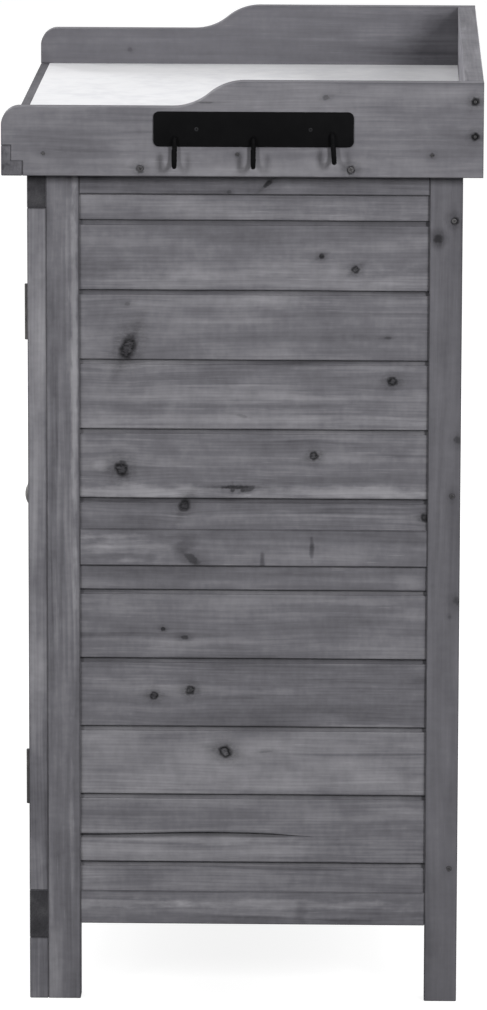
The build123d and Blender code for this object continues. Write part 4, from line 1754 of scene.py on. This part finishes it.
@dataclass
class HookStrip:
    """The black strip on the right end board, with three bent hooks. Sizes in millimetres."""

    corner: float = 6.0
    corner_steps: int = 8
    edge: float = 0.6
    wire: float = 5.0
    radius: float = 9.0
    radius_steps: int = 24
    standoff: float = 6.0
    bend: float = 3.5
    bend_steps: int = 8
    stem: float = 19.0
    tip: float = 9.0
    count: int = 3
    spacing: float = 83.0
    inset: float = 8.5
    crooked_lift: float = 5.0
    crooked_tilt: float = 4.5
    sharp_angle: float = 50.0

    def build_plate(self, shop: Workshop) -> None:
        """Makes the strip, with round corners and eased edges.

        Args:
            shop: finishes and tools.
        """
        low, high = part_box("hook_plate")
        shape = bmesh.new()
        verts = []
        corner = self.corner * MM
        left, right = low.y + corner, high.y - corner
        bottom, top = low.z + corner, high.z - corner
        for index, (y, z) in enumerate(((right, top), (left, top), (left, bottom), (right, bottom))):
            for step in range(self.corner_steps + 1):
                angle = math.radians(90) * (index + step / self.corner_steps)
                spot = (low.x, y + corner * math.cos(angle), z + corner * math.sin(angle))
                verts.append(shape.verts.new(spot))
        made = bmesh.ops.extrude_face_region(shape, geom=[shape.faces.new(verts)])["geom"]
        for vert in (item for item in made if isinstance(item, Corner)):
            vert.co.x = high.x
        front = [edge for edge in shape.edges if all(v.co.x > high.x - TOUCHING for v in edge.verts)]
        bmesh.ops.bevel(shape, geom=front, offset=self.edge * MM, segments=3, affect="EDGES", profile=0.5)
        mesh = new_mesh("hook_plate", shape)
        mesh.materials.append(shop.coats[Coat.BLACK_ENAMEL])
        shop.place(mesh, "hook_strip", Body.CABINET, Slot.BLACK, "hook_plate")

    def path(self) -> List[Vector]:
        """One hook's centre line.

        Returns:
            Points from the strip, out, down, round and up to the hook's tip.
        """
        start = self.standoff - self.bend
        points = [Vector((0, 0, 0)), Vector((start, 0, 0))]
        for step in range(1, self.bend_steps + 1):
            angle = math.radians(90) * step / self.bend_steps
            x = start + self.bend * math.sin(angle)
            points.append(Vector((x, 0, -self.bend * (1 - math.cos(angle)))))
        middle = self.standoff + self.radius
        for step in range(self.radius_steps + 1):
            angle = math.radians(180) * (1 + step / self.radius_steps)
            x = middle + self.radius * math.cos(angle)
            points.append(Vector((x, 0, -self.stem + self.radius * math.sin(angle))))
        points.append(Vector((middle + self.radius, 0, -self.stem + self.tip + self.wire / 2)))
        return points

    def build_hooks(self, shop: Workshop) -> None:
        """Bends the hooks along their paths; the one nearest the back sits crooked.

        Args:
            shop: finishes and tools.
        """
        low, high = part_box("hook_plate")
        middle, stub = (low.y + high.y) / 2, low.z + self.inset * MM
        curve = bpy.data.curves.new("hook_paths", "CURVE")
        curve.dimensions = "3D"
        for index in range(self.count):
            last = index == self.count - 1
            lift = self.crooked_lift * MM if last else 0.0
            tilt = math.radians(self.crooked_tilt if last else 0.0)
            y = middle + (index - (self.count - 1) / 2) * self.spacing * MM
            spot = Matrix.Translation((low.x, y, stub + lift)) @ Matrix.Rotation(tilt, 4, "X")
            points = [spot @ (point * MM) for point in self.path()]
            spline = curve.splines.new("POLY")
            spline.points.add(len(points) - 1)
            for target, point in zip(spline.points, points):
                target.co = (*point, 1.0)
        inputs = {"Radius": self.wire / 2 * MM, "Finish": shop.coats[Coat.BLACK_ENAMEL]}
        mesh = run_tree(shop.trees.wire, curve, inputs)
        mesh.polygons.foreach_set("use_smooth", [True] * len(mesh.polygons))
        mesh.set_sharp_from_angle(angle=math.radians(self.sharp_angle))
        shop.place(mesh, "bent_hooks", Body.CABINET, Slot.BLACK, "hooks")


@dataclass
class ScrewKind:
    """A countersunk screw with a cross recess. Sizes in millimetres.

    The recess's width and its two depths are shares of the head's width, its floor and the gaps
    between its wings are shares of the recess, and the point is a share of the shank.
    """

    head: float
    shank: float
    length: float
    sunk: float
    clearance: float = 0.9
    play: float = 0.1
    land: float = 0.3
    bevel: Pair = (0.2, 0.12)
    burr: float = 0.05
    point_share: float = 0.3
    recess_share: float = 0.3
    depth_shares: Pair = (0.08, 0.2)
    floor_share: float = 0.62
    gap_share: float = 0.32

    def template(self, lathe: Lathe) -> Mesh:
        """A screw along -Z, with the flat of its head just below z = 0.

        Args:
            lathe: makes turned solids.

        Returns:
            The screw.
        """
        top = -self.sunk
        rim = self.head / 2 - self.clearance
        core = self.shank / 2 - self.play
        recess = self.head * self.recess_share
        floor = recess * self.floor_share
        shallow, deep = (top - self.head * share for share in self.depth_shares)
        profile = [
            (0.0, -self.length),
            (self.shank * self.point_share, -self.length + self.shank),
            (core, -self.length + 2 * self.shank),
            (core, top - (self.head - self.shank) / 2 - self.land),
            (rim, top - self.land),
            (rim, top - self.bevel[1]),
            (rim - self.bevel[0], top),
            (recess, top + self.burr),
            (floor, shallow),
            (0.0, deep),
        ]
        shape = lathe.spin(profile)
        for vert in shape.verts:
            across = math.hypot(vert.co.x, vert.co.y)
            in_recess = min(abs(across - ring * MM) for ring in (recess, floor)) < TOUCHING
            if in_recess and vert.co.z > shallow * MM - TOUCHING:
                petal = abs(math.cos(2 * math.atan2(vert.co.y, vert.co.x))) ** 3
                narrow = self.gap_share + (1 - self.gap_share) * petal
                vert.co.x *= narrow
                vert.co.y *= narrow
        return new_mesh("screw", shape)


@dataclass
class Screws:
    """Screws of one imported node, each at the place of its solid."""

    node: str
    name: str
    body: Body
    finish: Coat = Coat.SCREW_STEEL
    slot: Slot = Slot.SCREW
    sunk: float = 0.7
    shank_share: float = 0.55

    def build(self, shop: Workshop) -> None:
        """Puts a screw where each solid of the node is.

        Args:
            shop: finishes and tools.
        """
        finish = shop.coats[self.finish]
        kinds: Dict[Triple, List[Tuple[Vector, Vector]]] = {}
        for spot, facing, size in self.solids():
            kinds.setdefault(size, []).append((spot, facing))
        joined = bmesh.new()
        for size, places in sorted(kinds.items()):
            spots, ways = zip(*places)
            template = ScrewKind(*size, sunk=self.sunk).template(shop.lathe)
            points = points_mesh(spots, {}, {"facing": ways})
            seed = int(size[0] * 10)
            mesh = shop.trees.repeat(shop.trees.scatter, template, points, Seed=seed, Finish=finish)
            joined.from_mesh(mesh)
            bpy.data.meshes.remove(mesh)
        made = new_mesh(self.node, joined)
        made.materials.append(finish)
        shop.place(made, self.name, self.body, self.slot, self.node)

    def solids(self) -> List[Tuple[Vector, Vector, Triple]]:
        """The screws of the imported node.

        Returns:
            For each its head's middle, the way it faces, and its sizes.
        """
        shape = bmesh.new()
        shape.from_mesh(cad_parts[self.node].data)
        bmesh.ops.remove_doubles(shape, verts=shape.verts, dist=TOUCHING)
        found = []
        left = set(shape.verts)
        while left:
            stack, island = [next(iter(left))], set()
            while stack:
                vert = stack.pop()
                if vert in island:
                    continue
                island.add(vert)
                stack += [edge.other_vert(vert) for edge in vert.link_edges]
            left -= island
            found.append(self.measure([vert.co.copy() for vert in island]))
        shape.free()
        return sorted(found, key=lambda item: tuple(round(part, 4) for part in item[0]))

    def measure(self, points: Sequence[Vector]) -> Tuple[Vector, Vector, Triple]:
        """Measures one screw.

        Args:
            points: its corners.

        Returns:
            Its head's middle, the way it faces, and the width of its head, its shank's and its length.
        """
        low = Vector([min(point[axis] for point in points) for axis in range(3)])
        high = Vector([max(point[axis] for point in points) for axis in range(3)])
        size = high - low
        axis = max(range(3), key=lambda index: size[index])
        middle = (low + high) / 2
        wide = [max((point - middle)[other] for other in range(3) if other != axis) for point in points]
        head_at = points[wide.index(max(wide))][axis]
        facing = Vector((0, 0, 0))
        facing[axis] = 1.0 if head_at > middle[axis] else -1.0
        spot = middle.copy()
        spot[axis] = high[axis] if facing[axis] > 0 else low[axis]
        head = round(2 * max(wide) / MM, 1)
        return spot, facing, (head, round(head * self.shank_share, 1), round(size[axis] / MM, 1))


@dataclass(frozen=True)
class View:
    """The camera, fitted to the photo's edges. Metres, degrees and pixels of a 487 x 1010 picture."""

    place: Triple = (6.93, 0.156, 1.769)
    yaw: float = 1.343
    pitch: float = 10.55
    roll: float = 0.135
    focus: float = 6272.0
    picture_height: float = 1010.0
    sensor: float = 36.0
    farthest: float = 200.0

    def build(self) -> None:
        """Creates the camera and makes it the scene's."""
        data = bpy.data.cameras.new("photo_camera")
        data.sensor_width = self.sensor
        data.lens = self.focus * self.sensor / self.picture_height
        data.clip_end = self.farthest
        camera = add_object("photo_camera", data)
        yaw, pitch, roll = (math.radians(angle) for angle in (self.yaw, self.pitch, self.roll))
        level = math.cos(pitch)
        ahead = Vector((-level * math.cos(yaw), -level * math.sin(yaw), -math.sin(pitch)))
        right = Vector((-math.sin(yaw), math.cos(yaw), 0.0))
        up = right.cross(ahead)
        turned_right = right * math.cos(roll) + up * math.sin(roll)
        turned_up = up * math.cos(roll) - right * math.sin(roll)
        turn = Matrix((turned_right, turned_up, -ahead)).transposed().to_4x4()
        camera.matrix_world = Matrix.Translation(self.place) @ turn
        bpy.context.scene.camera = camera


@dataclass(frozen=True)
class Lamp:
    """A soft lamp that looks at the bench, with its width and height."""

    name: str
    place: Triple
    size: Pair
    power: float
    aim: Triple = (0.0, 0.0, 0.55)

    def build(self) -> None:
        """Adds the lamp."""
        data = bpy.data.lights.new(self.name, "AREA")
        data.shape = "RECTANGLE"
        data.size, data.size_y = self.size
        data.energy = self.power
        lamp = add_object(self.name, data)
        lamp.location = self.place
        lamp.rotation_euler = (Vector(self.aim) - Vector(self.place)).to_track_quat("-Z", "Y").to_euler()


@dataclass
class Studio:
    """Pale floor, white surroundings and soft lamps."""

    ambient: float = 0.1
    floor_glow: Pair = (0.89, 0.985)
    glow_reach: Pair = (1.2, 3.6)
    floor_colour: Colour = (0.22, 0.22, 0.22, 1.0)
    floor_half: float = 60.0
    lamps: Sequence[Lamp] = (
        Lamp("key", (3.4, -1.85, 2.12), (0.5, 1.25), 56.0),
        Lamp("fill", (3.4, 1.89, 2.12), (0.5, 1.25), 96.0),
        Lamp("top", (0.7, 0.0, 3.2), (1.8, 1.8), 13.0),
        Lamp("front", (-0.8, -3.6, 1.8), (1.2, 1.2), 104.0),
        Lamp("rear", (-0.6, 3.6, 1.8), (1.2, 1.2), 104.0),
        Lamp("far_left", (-3.6, -2.3, 2.1), (0.9, 0.9), 84.0),
        Lamp("far_right", (-3.6, 2.3, 2.1), (0.9, 0.9), 84.0),
    )

    def build(self) -> None:
        """Makes lights, world and floor."""
        for lamp in self.lamps:
            lamp.build()
        self.light_world()
        self.lay_floor()
        bpy.context.scene.view_settings.view_transform = "Standard"

    @staticmethod
    def seen_directly(graph: Graph) -> Socket:
        """1 for rays from the camera, mirrors and glass, 0 for rays that light things.

        Args:
            graph: the graph of the world or of a material.

        Returns:
            The number.
        """
        path = graph.node("ShaderNodeLightPath").outputs
        share = graph.math("ADD", path["Is Camera Ray"], path["Is Glossy Ray"])
        return graph.math("ADD", share, path["Is Transmission Ray"], clamp=True)

    def light_world(self) -> None:
        """White to look at, and a plain soft light from all round."""
        world = bpy.data.worlds.new("studio")
        world.use_nodes = True
        bpy.context.scene.world = world
        graph = Graph(world.node_tree)
        strength = graph.math("MULTIPLY_ADD", self.seen_directly(graph), 1.0 - self.ambient, self.ambient)
        graph.feed(world.node_tree.nodes["Background"], {"Color": WHITE, "Strength": strength})

    def lay_floor(self) -> None:
        """A pale floor that looks white where nothing shades it."""
        mesh = bpy.data.meshes.new("floor")
        half = self.floor_half
        corners = [(-half, -half, 0), (half, -half, 0), (half, half, 0), (-half, half, 0)]
        mesh.from_pydata(corners, [], [(0, 1, 2, 3)])
        made, graph, shader = start_material("pale_floor")
        place = graph.node("ShaderNodeTexCoord").outputs["Object"]
        level = graph.ease(graph.measure("LENGTH", place), *self.glow_reach, *self.floor_glow)
        inputs = {
            "Base Color": self.floor_colour,
            "Roughness": 1.0,
            "Specular IOR Level": 0.0,
            "Emission Color": WHITE,
            "Emission Strength": graph.math("MULTIPLY", self.seen_directly(graph), level),
        }
        graph.feed(shader, inputs)
        mesh.materials.append(made)
        add_object("floor", mesh)


END_PANELS = ((120.0, 478.0), (517.5, 878.0))
DOOR_PANELS = ((183.0, 471.25), (511.25, 799.5))

RIGHT_END_MARKS = Marks(
    knots=(
        Knot(-121, 714, 8.4, 1.7, 66, 0.92, 0.3),
        Knot(-129, 582, 8.4, 0.95, 0, 0.92, 0.27),
        Knot(84, 812, 2.8, 1.1, 30, 0.86),
        Knot(120, 798, 4.2, 1.0, 40, 0.88, 0.3),
        Knot(155, 725, 1.5, 2.8, 5, 0.55),
        Knot(160, 678, 4.8, 1.2, 0, 0.92, 0.32),
        Knot(77, 597, 4.8, 1.0, 20, 0.93, 0.36),
        Knot(-6, 563, 2.0, 8.0, 0, 0.8),
        Knot(-10, 561, 2.2, 1.3, 90, 0.72),
        Knot(1, 560.5, 2.4, 1.3, 40, 0.75),
        Knot(8, 561.5, 1.8, 3.6, 16, 0.6),
        Knot(-61, 543, 5.8, 1.25, 62, 0.86, 0.2),
        Knot(195, 531, 5.2, 0.9, 0, 0.88),
        Knot(-84, 408, 2.3, 1.1, 0, 0.82),
        Knot(-61, 399, 2.2, 2.0, 0, 0.68),
        Knot(-94, 335, 4.6, 1.1, 0, 0.93, 0.34),
        Knot(-55, 341, 4.8, 1.1, 0, 0.93, 0.34),
        Knot(-17, 274, 6.4, 1.2, -15, 0.97, 0.44),
        Knot(26, 274, 1.2, 6.0, 4, 0.3),
        Knot(-122, 758, 2.0, 1.6, 0, 0.4),
        Knot(0, 640, 1.5, 4.0, -12, 0.3),
    ),
    patches=(
        Patch(-16, 865, 90, 12, 0.09),
        Patch(-13, 800, 170, 14, 0.13),
        Patch(167, 789, 30, 12, 0.1),
        Patch(80, 835, 160, 10, -0.08),
        Patch(-20, 763, 130, 8, 0.09),
        Patch(60, 732, 170, 10, -0.07),
        Patch(-150, 740, 30, 18, -0.08),
        Patch(120, 694, 85, 5, 0.16),
        Patch(-38, 682, 55, 12, -0.09),
        Patch(64, 660, 65, 5, 0.12, -3),
        Patch(20, 650, 120, 4, -0.15),
        Patch(0, 633, 240, 10, 0.13),
        Patch(30, 602, 220, 20, -0.09),
        Patch(-120, 558, 115, 9, 0.34),
        Patch(120, 558, 105, 8, 0.3),
        Patch(-150, 584, 10, 8, 0.2),
        Patch(180, 463, 20, 10, 0.14),
        Patch(86, 463, 76, 14, -0.05),
        Patch(135, 438, 65, 6, 0.1),
        Patch(60, 340, 120, 22, -0.06),
        Patch(132, 303, 70, 3.5, 0.22),
        Patch(-140, 418, 60, 30, 0.07),
        Patch(-150, 275, 45, 28, 0.06),
        Patch(180, 275, 45, 36, -0.09),
        Patch(-60, 175, 140, 5, 0.15),
        Patch(100, 175, 70, 7, 0.1),
    ),
)
RIGHT_END_TONES = (0.08, 0.107, 0.16, -0.045, 0.015, -0.05, -0.072, 0.05, 0.068, 0.04, 0.042, -0.02)

RIGHT_FRAME_MARKS = {
    "front_post": Marks(
        patches=(
            Patch(700, -178.5, 260, 4.5, 0.36),
            Patch(790, -186, 120, 2.2, 0.16),
            Patch(190, -182, 120, 3, 0.15),
            Patch(600, -203, 320, 6, -0.16),
            Patch(430, -190, 110, 3, 0.1),
            Patch(240, -190, 120, 16, 0.07),
            # Painted light at the post's top, which lifts the shadow that the tray casts there.
            Patch(872, -190, 32, 22, 0.13),
        ),
        tone=0.025,
    ),
    "rear_post": Marks(
        knots=(
            Knot(832, 207, 4.8, 1.0, 0, 0.66, 0.0),
            Knot(616, 230, 4.2, 1.0, 0, 0.55),
            Knot(442, 231, 5.0, 1.0, 0, 0.55),
            Knot(424, 223, 1.8, 1.0, 0, 0.35),
            Knot(851, 224, 4.4, 1.0, 0, 0.85, 0.0),
            Knot(555, 224, 3.0, 1.0, 0, 0.4),
            Knot(147, 224, 3.0, 1.0, 0, 0.3),
        ),
        patches=(Patch(832, 207, 12, 10, -0.2),),
        tone=-0.1,
    ),
    "top_rail": Marks(
        knots=(Knot(27, 890, 2.6, 2.4, 42, 0.8), Knot(-14, 881, 1.8, 1.6, 0, 0.5)),
        patches=(Patch(10, 888, 14, 10, -0.12), Patch(50, 884, 25, 6, 0.1)),
        tone=-0.11,
    ),
    "mid_rail": Marks(
        knots=(Knot(-53, 485, 4.4, 2.2, -38, 0.6, 0.0),),
        patches=(
            Patch(-130, 498, 65, 16, 0.2),
            Patch(-138, 510, 42, 3.5, 0.22),
            Patch(-147, 498, 24, 7, 0.2),
            Patch(-118, 484, 16, 4, 0.2),
            Patch(-130, 490, 34, 1.8, -0.14),
            Patch(-96, 489, 13, 7, -0.14, 25),
            Patch(-61, 500, 12, 17, -0.24, -40),
            Patch(75, 498, 3, 16, -0.4),
            Patch(22, 485, 3, 10, -0.34),
            Patch(140, 498, 65, 9, 0.07),
        ),
        tone=-0.05,
    ),
    "bottom_rail": Marks(
        patches=(
            Patch(-130, 107, 95, 7, 0.3),
            Patch(60, 107, 160, 7, 0.25),
            Patch(0, 87, 230, 7, -0.16),
            Patch(65, 98, 9, 17, -0.18),
        ),
        tone=-0.015,
    ),
}
FACE_MARKS = {
    "right_stile": Marks(
        patches=(
            Patch(716, 336, 105, 90, 0.17),
            Patch(470, 336, 36, 90, -0.13),
            Patch(368, 336, 50, 90, 0.14),
            Patch(225, 336, 82, 90, -0.14),
        ),
        tone=0.06,
    ),
}
TRAY_MARKS = Marks(
    knots=(
        Knot(88, 984, 2.6, 1.5, 20, 0.5),
        Knot(-38, 978, 1.0, 9.0, 0, 0.5),
        # From here to the end of the list, dark knots round the seven screw heads: painted shadow in the
        # screw holes.
        Knot(-210, 923, 2.8, 1.0, 0, 0.25),
        Knot(-5, 923, 2.8, 1.0, 0, 0.4),
        Knot(200, 923, 2.8, 1.0, 0, 0.45),
        Knot(-107.5, 907.5, 4.6, 1.0, 0, 0.75, 0.0),
        Knot(114.5, 907.5, 4.8, 1.0, 0, 0.88, 0.0),
        Knot(245, 943, 4.6, 1.0, 0, 0.92, 0.0),
        Knot(245, 980, 4.6, 1.0, 0, 0.92, 0.0),
    ),
    patches=(
        Patch(170, 940, 65, 1.3, 0.09),
        Patch(225, 940, 60, 44, -0.085),
        Patch(0, 911, 260, 15, 0.09),
        Patch(-190, 940, 80, 34, -0.06),
    ),
    tone=0.055,
)
FAR_END_MARKS = Marks(
    knots=(Knot(-150, 948, 2.4, depth=0.35),),
    # Painted shadow: the back board's shadow in the far corner, and a dark line where the board stands on the
    # sheet.
    patches=(Patch(222, 962, 52, 60, -0.18), Patch(0, 922, 285, 4, -0.4)),
    tone=-0.01,
)


def main() -> None:
    """Builds and dresses each sub-assembly in turn."""
    logging.basicConfig(level=logging.INFO, format="%(message)s")
    shop = Workshop()

    EndFrame("right", RIGHT_FRAME_MARKS).dress(shop)
    EndFrame("left").dress(shop)
    BackPanel().dress(shop)
    FaceFrame(FACE_MARKS).dress(shop)
    crack = Crack(start=-173, end=75, height=182)
    for panel in (
        SlatPanel("right_end_slats", Body.CABINET, 90.0, END_PANELS, RIGHT_END_MARKS, RIGHT_END_TONES, crack),
        SlatPanel("left_end_slats", Body.CABINET, -90.0, END_PANELS),
        SlatPanel("back_slats", Body.CABINET, 180.0, END_PANELS),
        SlatPanel("right_door_slats", Body.RIGHT_DOOR, 0.0, DOOR_PANELS),
        SlatPanel("left_door_slats", Body.LEFT_DOOR, 0.0, DOOR_PANELS),
    ):
        panel.build(shop)

    for door in (Door("right"), Door("left")):
        door.dress(shop)
        door.build_knob(shop)
    shop.coat("hinge_frame_leaves", Coat.DARK_IRON)
    shop.coat("hinge_pins", Coat.DARK_IRON)
    shop.coat("door_catch", Coat.CATCH_PLASTIC)

    BoardRow("floor_boards", count=5).build(shop)
    BoardRow("shelf_boards", count=5).build(shop)
    BoardRow("deck_boards", count=7, gap=1.0).build(shop)
    shop.board("board_cleats")

    tray = Tray(TRAY_MARKS, FAR_END_MARKS)
    tray.dress(shop)
    tray.build_sheet(shop)
    strip = HookStrip()
    strip.build_plate(shop)
    strip.build_hooks(shop)

    for screws in (
        Screws("cabinet_screws", "cabinet_fixings", Body.CABINET),
        Screws("hook_screws", "strip_fixings", Body.CABINET, Coat.WORN_ENAMEL, Slot.BLACK, sunk=-0.4),
        Screws("right_door_screws", "right_door_fixings", Body.RIGHT_DOOR),
        Screws("left_door_screws", "left_door_fixings", Body.LEFT_DOOR),
    ):
        screws.build(shop)

    View().build()
    Studio().build()


if __name__ == "__main__":
    main()
